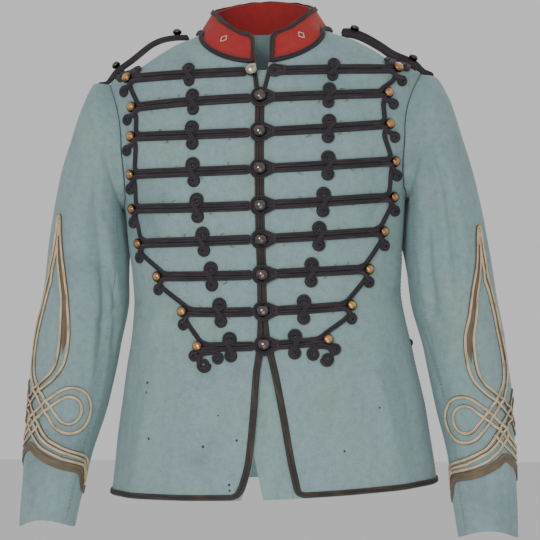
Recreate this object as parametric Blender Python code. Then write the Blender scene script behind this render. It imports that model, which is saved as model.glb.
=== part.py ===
"""Hussar jacket as worn and empty: cloth panels, stand-up collar, cord frogging, ball buttons and cuff knots.

The front faces -Y, the wearer's left is +X and up is +Z. The origin is the middle of the neck's base.
Sizes and tables are in millimetres and degrees, and the meshes are in metres.
"""

import math
from collections import namedtuple

import bmesh
import bpy
import numpy as np
from mathutils import Matrix, Vector
from mathutils.bvhtree import BVHTree

OBJECT_NAME = "hussar_jacket"
MM = 0.001
SIDES = (("right", -1), ("left", 1))

# Cloth and seams
CLOTH = 2.0
COLLAR_CLOTH = 2.4
UNDERLAP_CLOTH = 1.6
SEAM_GAP = 0.4
LAY_GAP = 0.5
CHORD_GAP = 0.42
CHORD_SHARES = (0.0, 0.25, 0.5, 0.75, 1.0)
FEEL = 6.0
SMOOTH_ANGLE = 40.0

# Torso
HEM = -574.5
ARMHOLE_TOP = -45.0
ARMHOLE_BOTTOM = -205.0
ARMHOLE_FRONT_TURN = 27.0
ARMHOLE_BACK_TURN = 30.0
NECK_SIDE = 14.0
NECK_FRONT = -33.0
NECK_BACK = 22.0
NECK_FRONT_SWEEP = 4.4
SWEEP = 2.0
FRONT_AT_SHOULDER = -66.0
BACK_AT_SHOULDER = -38.0
SKIRT_ROWS = 9
ARMHOLE_STEP = 20
SLOPE_ROWS = 4
FRONT_COLUMNS = 8
BACK_COLUMNS = 7

# Each section: its half width, its depths in front and behind, its shift to the left and its rise across
TORSO_COLUMNS = "height half_width front back drift rise"
TORSO_SECTIONS = (
    (-590.0, 213.0, 152.0, 142.0, 12.0, 0.040),
    (-485.0, 199.5, 140.0, 132.0, 9.5, 0.040),
    (-410.0, 186.0, 130.0, 121.0, 6.5, 0.042),
    (-361.0, 177.0, 119.0, 109.0, 4.5, 0.044),
    (-326.0, 173.0, 115.0, 104.0, 3.0, 0.045),
    (-292.0, 175.0, 117.0, 106.0, 2.5, 0.045),
    (-250.0, 179.0, 124.0, 111.0, 1.5, 0.045),
    (-205.0, 183.0, 130.0, 115.0, 1.0, 0.045),
    (-125.0, 203.0, 121.0, 110.0, 0.0, 0.044),
    (-45.0, 202.0, 97.0, 88.0, 0.0, 0.028),
    (-26.0, 163.0, 92.0, 84.0, 0.0, 0.026),
    (-12.0, 141.0, 87.0, 81.0, 0.0, 0.025),
    (1.0, 118.0, 81.0, 77.0, -0.5, 0.025),
    (14.0, 86.0, 75.0, 73.0, -1.0, 0.025),
    (24.0, 80.0, 70.0, 70.0, -1.0, 0.025),
)

# Soft folds: the turn at its top and foot, the heights between which it runs, its width and depth
FOLD_COLUMNS = "turn_top turn_foot top foot width depth"
SKIRT_FLUTES = (
    (34.0, 40.0, -395.0, -640.0, 9.0, 3.5),
    (62.0, 66.0, -360.0, -640.0, 8.0, 4.5),
    (-40.0, -43.0, -400.0, -640.0, 9.0, 3.0),
    (-66.0, -70.0, -350.0, -640.0, 8.0, 4.5),
    (148.0, 143.0, -350.0, -640.0, 10.0, 5.0),
    (-148.0, -143.0, -350.0, -640.0, 10.0, 5.0),
)

# How far each front edge stands from the middle
EDGE_COLUMNS = "height right left"
FRONT_EDGES = (
    (-600.0, 36.0, 36.0),
    (-574.5, 32.5, 33.3),
    (-555.0, 25.0, 30.0),
    (-530.0, 18.0, 25.0),
    (-477.0, 11.0, 17.0),
    (-420.0, 5.0, 8.0),
    (-392.0, 1.0, 3.0),
    (-375.0, 0.3, 0.3),
    (-92.0, 0.3, 0.3),
    (-75.0, 1.0, 1.5),
    (-44.0, 4.5, 8.0),
    (-20.0, 8.0, 12.0),
)

# Underlap behind the left front
UNDERLAP_REACH = 39.0
UNDERLAP_SEWN = 14.0
UNDERLAP_GAP = 0.9
UNDERLAP_COLUMNS = 2

# Sleeves, ring by ring from armhole to cuff: outermost and innermost point, half depth and place in depth
SLEEVE_COLUMNS = "ring outer_x outer_z inner_x inner_z depth centre_y"
SLEEVE_RINGS = {
    "right": (
        (1, 220.0, -49.0, 185.5, -214.0, 59.0, 0.0),
        (2, 237.0, -77.0, 183.5, -220.0, 62.0, 1.0),
        (3, 254.0, -126.0, 182.3, -230.0, 64.0, 3.0),
        (4, 268.0, -172.0, 181.0, -241.0, 65.0, 7.0),
        (5, 280.0, -232.0, 178.2, -268.0, 64.0, 10.0),
        (6, 290.0, -312.0, 179.0, -330.0, 61.0, 9.0),
        (7, 301.0, -380.0, 189.5, -394.0, 57.0, 1.0),
        (8, 307.0, -450.0, 203.0, -462.0, 54.0, -7.0),
        (9, 311.5, -520.0, 224.0, -531.0, 49.0, -15.0),
        (10, 314.0, -572.0, 236.0, -580.0, 45.0, -20.0),
        (11, 317.0, -624.0, 245.0, -624.0, 43.0, -24.0),
    ),
    "left": (
        (1, 219.0, -42.0, 187.0, -202.0, 59.0, 0.0),
        (2, 238.0, -70.0, 185.2, -208.0, 62.0, 1.0),
        (3, 256.0, -122.0, 184.2, -219.0, 64.0, 3.0),
        (4, 270.0, -168.0, 183.0, -235.0, 65.0, 7.0),
        (5, 285.0, -232.0, 181.8, -263.0, 64.0, 10.0),
        (6, 299.0, -318.0, 188.5, -330.0, 61.0, 9.0),
        (7, 310.5, -385.0, 206.0, -397.0, 57.0, 1.0),
        (8, 318.5, -452.0, 219.0, -462.0, 54.0, -7.0),
        (9, 322.5, -524.0, 236.0, -532.0, 49.0, -15.0),
        (10, 324.5, -578.0, 242.0, -585.0, 45.0, -20.0),
        (11, 326.0, -634.0, 249.0, -634.0, 43.0, -24.0),
    ),
}
CUFF_RING = 11
CUFF_ARCH = 12.0
FRONT_SEAM_ANGLE = -50
BACK_SEAM_ANGLE = 170
SLEEVE_ROWS = 12

# Soft folds of each sleeve, in the same columns
SLEEVE_FOLDS = {
    "right": (
        (-14.0, -22.0, -190.0, -440.0, 14.0, 3.2),
        (28.0, 10.0, -255.0, -370.0, 11.0, 2.2),
        (150.0, 172.0, -210.0, -420.0, 15.0, 3.0),
    ),
    "left": (
        (-12.0, -20.0, -130.0, -330.0, 12.0, 3.4),
        (-34.0, -30.0, -200.0, -400.0, 11.0, 2.6),
        (156.0, 178.0, -210.0, -420.0, 15.0, 3.0),
    ),
}

# Collar, its top edge as half width, depths and heights
COLLAR_TOP_HALF_WIDTH = 66.0
COLLAR_TOP_FRONT = 72.0
COLLAR_TOP_BACK = 64.0
COLLAR_TOP_FRONT_Z = 5.0
COLLAR_TOP_SIDE_Z = 45.0
COLLAR_TOP_BACK_Z = 64.0
COLLAR_FRONT_SWEEP = 2.0
COLLAR_BACK_SWEEP = 1.4
COLLAR_END_RIGHT = 9.0
COLLAR_END_LEFT = 13.0
COLLAR_INSET = 0.007
BASE_CORD_UP = 0.1
EDGE_BRAID_UP = 0.92
COLLAR_END_UPS = (0.24, 0.55, 0.8)
COLLAR_ROWS = 2

# Braids and cords: width and height of their sections
BAR_WIDTH = 11.5
BAR_HEIGHT = 3.0
LINK_WIDTH = 6.0
LINK_HEIGHT = 2.6
EDGE_CLOSED_WIDTH = 5.2
EDGE_OPEN_WIDTH = 9.0
EDGE_HEM_WIDTH = 7.0
EDGE_HEIGHT = 2.0
EDGE_ROWS = 18
HEM_COLUMNS = 20
EDGE_INSET = 0.5
HEM_INSET = 0.6
EDGE_TOP_DROP = 6.0
PARTING_HEIGHT = -385.0
PARTING_LENGTH = 45.0
CORNER_RISE = 9.0
CORNER_CUT = 3.0
CORNER_IN = 1.5
CORNER_TURN = 1.8
CORNER_WIDTH_SHARE = 0.9
BACK_END_TURN = 179.8
COLLAR_BRAID_WIDTH = 5.0
COLLAR_BRAID_HEIGHT = 1.6
COLLAR_CORD_WIDTH = 5.6
COLLAR_CORD_HEIGHT = 3.4
SHOULDER_CORD_WIDTH = 11.0
SHOULDER_CORD_HEIGHT = 7.5
KNOT_WIDTH = 10.0
KNOT_HEIGHT = 1.4
BAND_WIDTH = 9.5
BAND_HEIGHT = 1.4
FLAT_TOP_SHARE = 0.82
DOUBLE_TOP_SHARE = 0.72
GROOVE_SHARE = 0.62

# Frogging rows from the collar down: height at the middle, then for each side the reach of the outer button,
# how far the row lifts on its way there, and the place of the eyes
ROW_COLUMNS = "row height reach_right lift_right eyes_right reach_left lift_left eyes_left"
FROGGING_ROWS = (
    (1, -43.7, 171.0, 0.0, 91.0, 170.0, 1.0, 91.0),
    (2, -78.0, 164.0, -2.0, 85.0, 158.0, 3.0, 86.0),
    (3, -121.5, 163.5, 5.0, 85.0, 159.0, 5.5, 86.0),
    (4, -167.5, 165.0, 4.0, 83.5, 166.0, 5.0, 85.0),
    (5, -212.5, 164.0, 5.5, 79.0, 163.0, 5.0, 78.5),
    (6, -254.0, 156.5, 2.5, 72.5, 150.5, 3.5, 72.5),
    (7, -298.0, 131.5, 3.5, 63.5, 131.0, 1.0, 62.0),
    (8, -344.0, 100.5, 3.5, 53.5, 108.5, 2.0, 51.5),
    (9, -386.5, 81.5, 1.5, 42.0, 78.5, 3.5, 39.0),
)
UPPER_EYE_RADIUS = 8.4
UPPER_EYE_RISE = 9.0
LOWER_EYE_RADIUS = 7.4
LOWER_EYE_DROP = 11.2
LOWER_EYE_IN = 1.0
OUTER_EYE_RADIUS = 7.0
OUTER_EYE_OUT = 3.2
OUTER_EYE_DROP = 16.5
EYE_HEIGHT = 3.6
EYE_SIDES = 6
EYE_TAPER = 0.85
EYE_DIMPLE = 1.2
EYE_GAP = 0.7
TIE_GAP = 0.9
CURL_GAP = 1.0
LOOP_RADIUS = 11.2
LOOP_WIDTH = 4.6
LOOP_HEIGHT = 3.4
LOOP_NECK = 18.0
LOOP_SPREAD = 2.4
LOOP_LIFT = 4.2
LOOP_END_LIFT = 1.4
LOOP_ANGLES = range(50, 311, 43)
FIRST_LOOP_MIDDLE = 21.0
BAR_CLEARANCE = 2.0
BAR_UNDER_LOOP = 4.0
BAR_CROWDING = 1.2
LOOP_CLEARANCE = 0.8
FIRST_BUTTON_CLEARANCE = 9.5
BAR_STEP = 28.0
TIE_STEP = 12.0
LINK_STEP = 16.0

# Cords at a row's outer end, outward and up from its button or from the next one
OUTER_EYE_TIE = ((-13.0, -3.0), (-7.0, -11.0))
LINK_START = ((-12.0, -3.0), (-9.0, -14.0))
LINK_END = ((-9.0, 11.0), (-12.0, 3.0))

# Ends of the first and last rows, outward and up from their outer button: eyes, and the cords that tie them
FIRST_ROW_EYES = ((13.5, 0.5), (-15.5, 7.0))
LAST_ROW_EYES = ((6.0, -11.5), (-7.0, -22.5), (-24.0, -14.5))
LAST_ROW_TIE = ((-25.0, -3.0), (-16.0, -17.0), (-7.0, -22.5), (1.5, -17.5), (6.0, -11.5))
FIRST_ROW_EYE_RADIUS = 6.4
FIRST_ROW_TIE_RADIUS = 10.5
FIRST_ROW_TIE_WIDTH = 3.6
FIRST_ROW_TIE_ANGLES = range(15, 166, 30)

# Buttons
CENTRE_BUTTON_RADIUS = 8.2
OUTER_BUTTON_RADIUS = 7.0
SHOULDER_BUTTON_RADIUS = 6.0
WAIST_BUTTON_RADIUS = 6.0
BUTTON_HEIGHT_RATIO = 1.35
BUTTON_SIDES = 8
BUTTON_FOOT = 0.78
BUTTON_PROFILE = ((0.0, 0.0), (BUTTON_FOOT, 0.0), (1.0, 0.42), (0.66, 0.86), (0.0, 1.0))
BUTTON_GAP = 0.3
BUTTON_LINE = 0.6
FIRST_BUTTON_PLACE = -11.0
WAIST_BUTTON_TURN = 104.0
WAIST_BUTTON_HEIGHT = -396.0

# Shoulder cords: distance from the middle, and how far the cord arches clear of the shoulder
CORD_COLUMNS = "distance right left"
SHOULDER_CORD = (
    (99.0, 1.0, 1.0),
    (110.0, 5.0, 5.5),
    (123.0, 10.5, 7.5),
    (136.0, 17.0, 8.5),
    (149.0, 20.0, 10.0),
    (162.0, 19.5, 10.0),
    (175.0, 17.0, 9.0),
    (188.0, 15.0, 7.5),
    (201.0, 10.5, 5.0),
    (219.0, 1.2, 1.2),
)
SHOULDER_CORD_RINGS = 14
SHOULDER_SAMPLES = 40
SLEEVE_HEAD_RINGS = (0.25, 0.5, 0.75, 1.0, 1.25)
NECK_BUTTON_AT = 112.0
ARM_BUTTON_AT = 192.0

# Cuff knot, half of it, as places across and up from its crossing
KNOT_HEIGHT_AT = {"right": -475.0, "left": -489.0}
KNOT_ANGLE = 47.0
KNOT_BRANCH = (
    (0.0, 226.0),
    (-5.0, 190.0),
    (-13.0, 150.0),
    (-22.0, 105.0),
    (-27.0, 64.0),
    (-18.0, 40.0),
    (0.0, 21.0),
)
KNOT_LOOP_MIDDLE = 48.0
KNOT_LOOP_RADIUS = 22.5
KNOT_LOOP_ANGLES = range(-130, 131, 26)
KNOT_TAIL = ((0.0, -15.0), (-18.0, -31.0), (-40.0, -41.0), (-64.0, -49.0), (-76.0, -58.0), (-83.0, -76.0))
KNOT_STEP = 12.0
KNOT_OVER = 7.5
KNOT_RAMP = 6.5
KNOT_SPACE = 0.8

# Cuff band: angle from the knot's axis and height from the knot's crossing
BAND_COLUMNS = "angle height"
CUFF_BAND = (
    (0.0, -50.0),
    (40.0, -62.0),
    (70.0, -70.0),
    (88.0, -76.0),
    (104.0, -97.0),
    (130.0, -104.0),
    (180.0, -104.0),
)
BAND_SAMPLES = 24
BAND_RADIUS = 47.0
BAND_GAP = 0.95

# Colours, and how rough each kind of surface is
BLUE = (0.245, 0.355, 0.375)
RED = (0.50, 0.045, 0.045)
DARK = (0.030, 0.022, 0.028)
BROWN = (0.085, 0.060, 0.045)
GOLD_THREAD = (0.58, 0.45, 0.27)
BAND_BROWN = (0.24, 0.17, 0.10)
BRASS = (0.60, 0.40, 0.14)
BRONZE = (0.16, 0.12, 0.10)
WOOL_ROUGHNESS = 0.9
CORD_ROUGHNESS = 0.8
BRAID_ROUGHNESS = 0.65
METAL_ROUGHNESS = 0.35


class Table:
    """Named columns against the first one, read between rows as smooth curves that don't overshoot."""

    def __init__(self, names, rows):
        data = np.array(sorted(rows), float)
        self.knots = data[:, 0]
        self.values = dict(zip(names.split(), data.T))
        self.slopes = {name: steady_slopes(self.knots, values) for name, values in self.values.items()}

    def at(self, name, place):
        return float(steady_curve(self.knots, self.values[name], self.slopes[name], place))


def steady_slopes(knots, values):
    """Slopes that keep a cubic curve between its points: none at a peak, the harmonic mean elsewhere."""
    steps = np.diff(knots)
    rates = (np.diff(values, axis=0).T / steps).T
    slopes = np.zeros_like(values, float)
    slopes[0] = rates[0]
    slopes[-1] = rates[-1]
    both = rates[:-1] * rates[1:]
    total = rates[:-1] + rates[1:]
    slopes[1:-1] = np.where(both > 0, 2 * both / np.where(total == 0, 1, total), 0)
    return slopes


def steady_curve(knots, values, slopes, place):
    """The cubic curve through the values, read at one place."""
    i = int(np.clip(np.searchsorted(knots, place) - 1, 0, len(knots) - 2))
    span = knots[i + 1] - knots[i]
    t = min(max((place - knots[i]) / span, 0.0), 1.0)
    start = (1 + 2 * t) * (1 - t) ** 2 * values[i] + t * (1 - t) ** 2 * span * slopes[i]
    return start + t * t * (3 - 2 * t) * values[i + 1] - t * t * (1 - t) * span * slopes[i + 1]


Fold = namedtuple("Fold", FOLD_COLUMNS)
TORSO = Table(TORSO_COLUMNS, TORSO_SECTIONS)
EDGES = Table(EDGE_COLUMNS, FRONT_EDGES)
ROWS = Table(ROW_COLUMNS, FROGGING_ROWS)
CORD = Table(CORD_COLUMNS, SHOULDER_CORD)
BAND = Table(BAND_COLUMNS, CUFF_BAND)
SLEEVES = {side: Table(SLEEVE_COLUMNS, rows) for side, rows in SLEEVE_RINGS.items()}


def unit(vector):
    return vector / np.linalg.norm(vector)


def smooth_step(value):
    value = min(max(value, 0.0), 1.0)
    return value * value * (3 - 2 * value)


def trough(folds, turn, height):
    """How far soft folds draw the cloth in at a place."""
    drawn_in = 0.0
    for row in folds:
        fold = Fold(*row)
        along = (fold.top - height) / (fold.top - fold.foot)
        if 0 < along < 1:
            away = turn - fold.turn_top - (fold.turn_foot - fold.turn_top) * along
            drawn_in += fold.depth * math.sin(math.pi * along) * math.exp(-((away / fold.width) ** 2))
    return drawn_in


TORSO_STEPS = (0.3, 0.5)
MM_STEPS = (0.5, 0.5)
SLEEVE_STEPS = (1.0, 0.02)
COLLAR_STEPS = (0.002, 0.02)


def torso(turn, height):
    """The torso's outer surface. The turn is 0 at the centre front, 90 at the left side and 180 behind."""
    angle = math.radians(turn)
    inward = trough(SKIRT_FLUTES, turn, height)
    depth = TORSO.at("front" if math.cos(angle) > 0 else "back", height) - inward
    x = (TORSO.at("half_width", height) - inward) * math.sin(angle)
    z = height + TORSO.at("rise", height) * x
    return np.array((x + TORSO.at("drift", height), -depth * math.cos(angle), z))


def front_turn(x, height):
    """The turn at which the front of the torso is this far from the middle."""
    return math.degrees(math.asin(x / TORSO.at("half_width", height)))


def front(x, height):
    return torso(front_turn(x, height), height)


def row_place(side, row, x):
    """A place on one side's half of a frogging row."""
    reach = ROWS.at(f"reach_{side}", row)
    return x, ROWS.at("height", row) + ROWS.at(f"lift_{side}", row) * (x / reach) ** 2


def row_end(side, row):
    """The place of a row's outer button."""
    return row_place(side, row, ROWS.at(f"reach_{side}", row))


def beside(place, out, up):
    """A place on the left front, this far outward and up along the cloth from another."""
    x, height = place
    along = outward(front, place, MM_STEPS)[1]
    return x + out / np.linalg.norm(along), height + up


def armhole(angle):
    """Turn and height on the left armhole: angle -90 is its foot, 0 its front, 90 its top and 180 its back."""
    middle = (ARMHOLE_TOP + ARMHOLE_BOTTOM) / 2
    height = middle + (ARMHOLE_TOP - middle) * math.sin(math.radians(angle))
    ahead = math.cos(math.radians(angle))
    return 90 - ahead * (ARMHOLE_FRONT_TURN if ahead > 0 else ARMHOLE_BACK_TURN), height


def outward(surface, place, steps):
    """A surface's point at a place, its two rates of change and its outward direction."""
    u, v = place
    du, dv = steps
    along_u = (surface(u + du, v) - surface(u - du, v)) / (2 * du)
    along_v = (surface(u, v + dv) - surface(u, v - dv)) / (2 * dv)
    return surface(u, v), along_u, along_v, unit(np.cross(along_u, along_v))


def sleeve(side, angle, ring):
    """A sleeve's outer surface. The angle is 0 at its front, 90 outside and -90 inside. Ring 0 is the armhole."""
    sign = dict(SIDES)[side]
    rings = SLEEVES[side].values
    around = math.radians(angle)
    inward = trough(SLEEVE_FOLDS[side], (angle + 180) % 360 - 180, sleeve_height(side, ring))
    middle_x = (rings["outer_x"] + rings["inner_x"]) / 2
    middle_z = (rings["outer_z"] + rings["inner_z"]) / 2
    across_x = (rings["outer_x"] - rings["inner_x"]) / 2
    across_z = (rings["outer_z"] - rings["inner_z"]) / 2
    x = middle_x + across_x * math.sin(around)
    y = rings["centre_y"] - rings["depth"] * math.cos(around)
    z = middle_z + across_z * math.sin(around)
    z[-1] += CUFF_ARCH * math.cos(around) ** 2
    turn, height = armhole(angle)
    points = np.vstack((torso(sign * turn, height), np.column_stack((sign * x, y, z))))
    knots = np.arange(len(points), dtype=float)
    point = steady_curve(knots, points, steady_slopes(knots, points), ring)
    return point - inward * np.array((sign * math.sin(around), -math.cos(around), 0))


def sleeve_height(side, ring):
    """The height of the middle of a ring."""
    rings = SLEEVES[side].values
    middle = (rings["outer_z"] + rings["inner_z"]) / 2
    return float(np.interp(ring, rings["ring"], middle))


def ring_at(side, height):
    """The ring whose middle is at this height."""
    rings = SLEEVES[side].values
    middle = (rings["outer_z"] + rings["inner_z"]) / 2
    return float(np.interp(-height, -middle, rings["ring"]))


def cuff_surface(side):
    """A sleeve as places across, to +X, and up from the middle of its knot."""
    sign = dict(SIDES)[side]

    def surface(across, up):
        ring = ring_at(side, KNOT_HEIGHT_AT[side] + up)
        rings = SLEEVES[side]
        radius = (rings.at("depth", ring) + (rings.at("outer_x", ring) - rings.at("inner_x", ring)) / 2) / 2
        return sleeve(side, KNOT_ANGLE + sign * math.degrees(across / radius), ring)

    return surface


def neck_place(along):
    """Turn and height of the neck's edge, along from the right front by the back to the left front."""
    right_end, left_end = neck_ends()
    turn = 360 - right_end + along * (left_end - 360 + right_end)
    ahead = math.cos(math.radians(turn))
    sweep = abs(ahead) ** (NECK_FRONT_SWEEP if ahead > 0 else SWEEP)
    return turn, NECK_SIDE + ((NECK_FRONT if ahead > 0 else NECK_BACK) - NECK_SIDE) * sweep


def neck_ends():
    """How far the neck's ends turn from the middle, right and left."""
    return [front_turn(EDGES.at(side, NECK_FRONT), NECK_FRONT) for side, _ in SIDES]


def collar(along, up):
    """The collar's outer surface, along from its right front end by the back to its left, up from base to top."""
    base = torso(*neck_place(along))
    right_end = math.degrees(math.asin(COLLAR_END_RIGHT / COLLAR_TOP_HALF_WIDTH))
    left_end = math.degrees(math.asin(COLLAR_END_LEFT / COLLAR_TOP_HALF_WIDTH))
    top_angle = math.radians(360 - right_end + along * (left_end - 360 + right_end))
    ahead = math.cos(top_angle)
    rise = (COLLAR_TOP_FRONT_Z if ahead > 0 else COLLAR_TOP_BACK_Z) - COLLAR_TOP_SIDE_Z
    sweep = abs(ahead) ** (COLLAR_FRONT_SWEEP if ahead > 0 else COLLAR_BACK_SWEEP)
    x = COLLAR_TOP_HALF_WIDTH * math.sin(top_angle)
    y = -(COLLAR_TOP_FRONT if ahead > 0 else COLLAR_TOP_BACK) * ahead
    z = COLLAR_TOP_SIDE_Z + rise * sweep + TORSO.at("rise", NECK_SIDE) * x
    top = np.array((x + TORSO.at("drift", NECK_SIDE), y, z))
    return base + up * (top - base)


def new_object(name, mesh, colour, roughness, metallic=0.0):
    """An object in the part's collection with a material of its own, from a bmesh in millimetres."""
    bmesh.ops.scale(mesh, vec=(MM, MM, MM), verts=mesh.verts)
    data = bpy.data.meshes.new(name)
    mesh.to_mesh(data)
    mesh.free()
    data.shade_smooth()
    data.set_sharp_from_angle(angle=math.radians(SMOOTH_ANGLE))
    obj = bpy.data.objects.new(name, data)
    data.materials.append(finish(name, colour, roughness, metallic))
    PARTS.objects.link(obj)
    return obj


def finish(name, colour, roughness, metallic):
    material = bpy.data.materials.new(name)
    material.use_nodes = True
    shader = material.node_tree.nodes["Principled BSDF"]
    shader.inputs["Base Color"].default_value = (*colour, 1)
    shader.inputs["Roughness"].default_value = roughness
    shader.inputs["Metallic"].default_value = metallic
    material.diffuse_color = (*colour, 1)
    return material


def wall(outer, inner):
    """A sheet of cloth between two grids of points: the inner grid, extruded to the outer one."""
    rows, columns = outer.shape[:2]
    mesh = bmesh.new()
    bmesh.ops.create_grid(mesh, x_segments=columns - 1, y_segments=rows - 1, size=1)
    order = mesh.verts.layers.int.new("order")
    for index, vertex in enumerate(mesh.verts):
        vertex[order] = index
        vertex.co = inner.reshape(-1, 3)[index]
    extruded = bmesh.ops.extrude_face_region(mesh, geom=mesh.faces[:], use_keep_orig=True)
    for item in extruded["geom"]:
        if isinstance(item, bmesh.types.BMVert):
            item.co = outer.reshape(-1, 3)[item[order]]
    bmesh.ops.recalc_face_normals(mesh, faces=mesh.faces)
    return mesh


def tube(rings, joined=False):
    """A closed body through rings of points: a grid rolled up, capped at its ends or joined into a hoop."""
    rings = [np.vstack((ring, ring[:1])) for ring in rings]
    if joined:
        rings.append(rings[0])
    mesh = bmesh.new()
    bmesh.ops.create_grid(mesh, x_segments=len(rings[0]) - 1, y_segments=len(rings) - 1, size=1)
    for vertex, point in zip(mesh.verts, np.concatenate(rings)):
        vertex.co = point
    bmesh.ops.remove_doubles(mesh, verts=mesh.verts, dist=MM)
    bmesh.ops.holes_fill(mesh, edges=mesh.edges)
    bmesh.ops.recalc_face_normals(mesh, faces=mesh.faces)
    return mesh


def flat_section(width, height):
    """A flat braid's section, as places across and up."""
    half = width / 2
    top = FLAT_TOP_SHARE * half
    return ((-half, 0.0), (-top, height), (top, height), (half, 0.0))


def double_section(width, height):
    """The section of two cords side by side, with a groove between them."""
    half = width / 2
    top = DOUBLE_TOP_SHARE * half
    return ((-half, 0.0), (-top, height), (0.0, GROOVE_SHARE * height), (top, height), (half, 0.0))


def faces_of(*objects):
    """The faces of objects, to be felt for by rays."""
    bpy.context.view_layer.update()
    graph = bpy.context.evaluated_depsgraph_get()
    return [BVHTree.FromObject(obj, graph) for obj in objects]


def standing(panels, point, normal):
    """How far the faces of panels stand out past a point of the surface that they were made from."""
    start = Vector(point + normal * FEEL)
    heights = [-FEEL]
    for tree in panels:
        distance = tree.ray_cast(start * MM, Vector(-normal), 2 * FEEL * MM)[3]
        if distance is not None:
            heights.append(FEEL - distance / MM)
    return max(heights)


def laid_rings(surface, steps, path, sections, lifts, panels):
    """Rings of a braid along a path of places on a surface, each section lifted clear of the panels there."""
    rings = []
    normals = []
    for index, place in enumerate(path):
        point, along_u, along_v, normal = outward(surface, place, steps)
        before = np.array(path[max(index - 1, 0)])
        after = np.array(path[min(index + 1, len(path) - 1)])
        du, dv = after - before
        ahead = unit(along_u * du + along_v * dv)
        beside = np.cross(normal, ahead)
        rates = np.column_stack((along_u, along_v))
        shift = np.linalg.lstsq(rates, beside, rcond=None)[0]
        feet = [surface(*(np.array(place) + shift * across)) for across, _ in sections[index]]
        lift = lifts[index] + max(0.0, *(standing(panels, foot, normal) for foot in feet))
        rings.append(np.array([foot + normal * (up + lift) for foot, (_, up) in zip(feet, sections[index])]))
        normals.append(normal)
    raised = np.zeros(len(rings))
    for index in range(len(rings) - 1):
        normal = unit(normals[index] + normals[index + 1])
        for share in CHORD_SHARES:
            first, last = (rings[index] + share * (rings[index + 1] - rings[index]))[[0, -1]]
            under = [first + part * (last - first) for part in CHORD_SHARES]
            short = CHORD_GAP + max(standing(panels, point, normal) for point in under)
            raised[index : index + 2] = np.maximum(raised[index : index + 2], short)
    return [ring + normal * more for ring, normal, more in zip(rings, normals, raised)]


def laid(surface, steps, path, section, panels, lift=LAY_GAP):
    """A closed braid of one section along a path on a surface."""
    lifts = np.broadcast_to(lift, len(path))
    return tube(laid_rings(surface, steps, path, [section] * len(path), lifts, panels))


def smooth_path(points, step):
    """A smooth curve through places chosen by hand, with a point about every step."""
    points = np.array(points, float)
    ends = np.vstack((2 * points[0] - points[1], points, 2 * points[-1] - points[-2]))
    path = []
    for i in range(1, len(ends) - 2):
        before, start, end, after = ends[i - 1 : i + 3]
        count = max(1, round(np.linalg.norm(end - start) / step))
        for k in range(count):
            t = k / count
            bend = 2 * before - 5 * start + 4 * end - after
            twist = 3 * start - before - 3 * end + after
            path.append(start + 0.5 * t * (end - before + t * (bend + t * twist)))
    path.append(points[-1])
    return path


def cut_back(points):
    """Draws a panel's edges in along its own surface, by half a seam's gap."""
    gap = SEAM_GAP / 2
    for edge, inside in ((0, 1), (-1, -2)):
        away = points[inside] - points[edge]
        points[edge] += gap * away / np.linalg.norm(away, axis=-1, keepdims=True)
        away = points[:, inside] - points[:, edge]
        points[:, edge] += gap * away / np.linalg.norm(away, axis=-1, keepdims=True)
    return points


def panel_rows(behind):
    """A front's or back's rows from the hem up: outer end's turn and height, centre's height and sweep between."""
    rows = []
    for step in range(SKIRT_ROWS):
        height = HEM + (ARMHOLE_BOTTOM - HEM) * step / SKIRT_ROWS
        rows.append((90.0, height, height, SWEEP))
    centre_top = BACK_AT_SHOULDER if behind else FRONT_AT_SHOULDER
    for angle in range(-90, 91, ARMHOLE_STEP):
        turn, height = armhole(180 - angle if behind else angle)
        risen = (height - ARMHOLE_BOTTOM) / (ARMHOLE_TOP - ARMHOLE_BOTTOM)
        rows.append((turn, height, ARMHOLE_BOTTOM + (centre_top - ARMHOLE_BOTTOM) * risen, SWEEP))
    neck, sweep = (NECK_BACK, SWEEP) if behind else (NECK_FRONT, NECK_FRONT_SWEEP)
    for step in range(1, SLOPE_ROWS + 1):
        risen = step / SLOPE_ROWS
        outer = ARMHOLE_TOP + (NECK_SIDE - ARMHOLE_TOP) * risen
        rows.append((90.0, outer, centre_top + (neck - centre_top) * risen, SWEEP + (sweep - SWEEP) * risen))
    return rows


def away_from_centre(turn, sweep):
    """From 0 at the centre front or back to 1 at the side, held near 0 for longer by a lower sweep."""
    return 1 - abs(math.cos(math.radians(turn))) ** sweep


def panel(side, behind):
    """A front or back: its grid of places, mapped to the torso and given its thickness."""
    sign = dict(SIDES)[side]
    columns = BACK_COLUMNS if behind else FRONT_COLUMNS
    rows = panel_rows(behind)
    outer = np.zeros((len(rows), columns + 1, 3))
    inner = np.zeros_like(outer)
    for i, (outer_turn, outer_height, centre_height, sweep) in enumerate(rows):
        edge_turn = 180.0 if behind else front_turn(EDGES.at(side, centre_height), centre_height)
        for j in range(columns + 1):
            turn = edge_turn + (outer_turn - edge_turn) * j / columns
            risen = away_from_centre(turn, sweep) / away_from_centre(outer_turn, sweep)
            height = centre_height + (outer_height - centre_height) * risen
            point, _, _, normal = outward(torso, (sign * turn, height), TORSO_STEPS)
            outer[i, j] = point
            inner[i, j] = normal
    outer = cut_back(outer)
    name = f"{'back' if behind else 'front'}_{side}"
    return new_object(name, wall(outer, outer - CLOTH * inner), BLUE, WOOL_ROUGHNESS)


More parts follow.
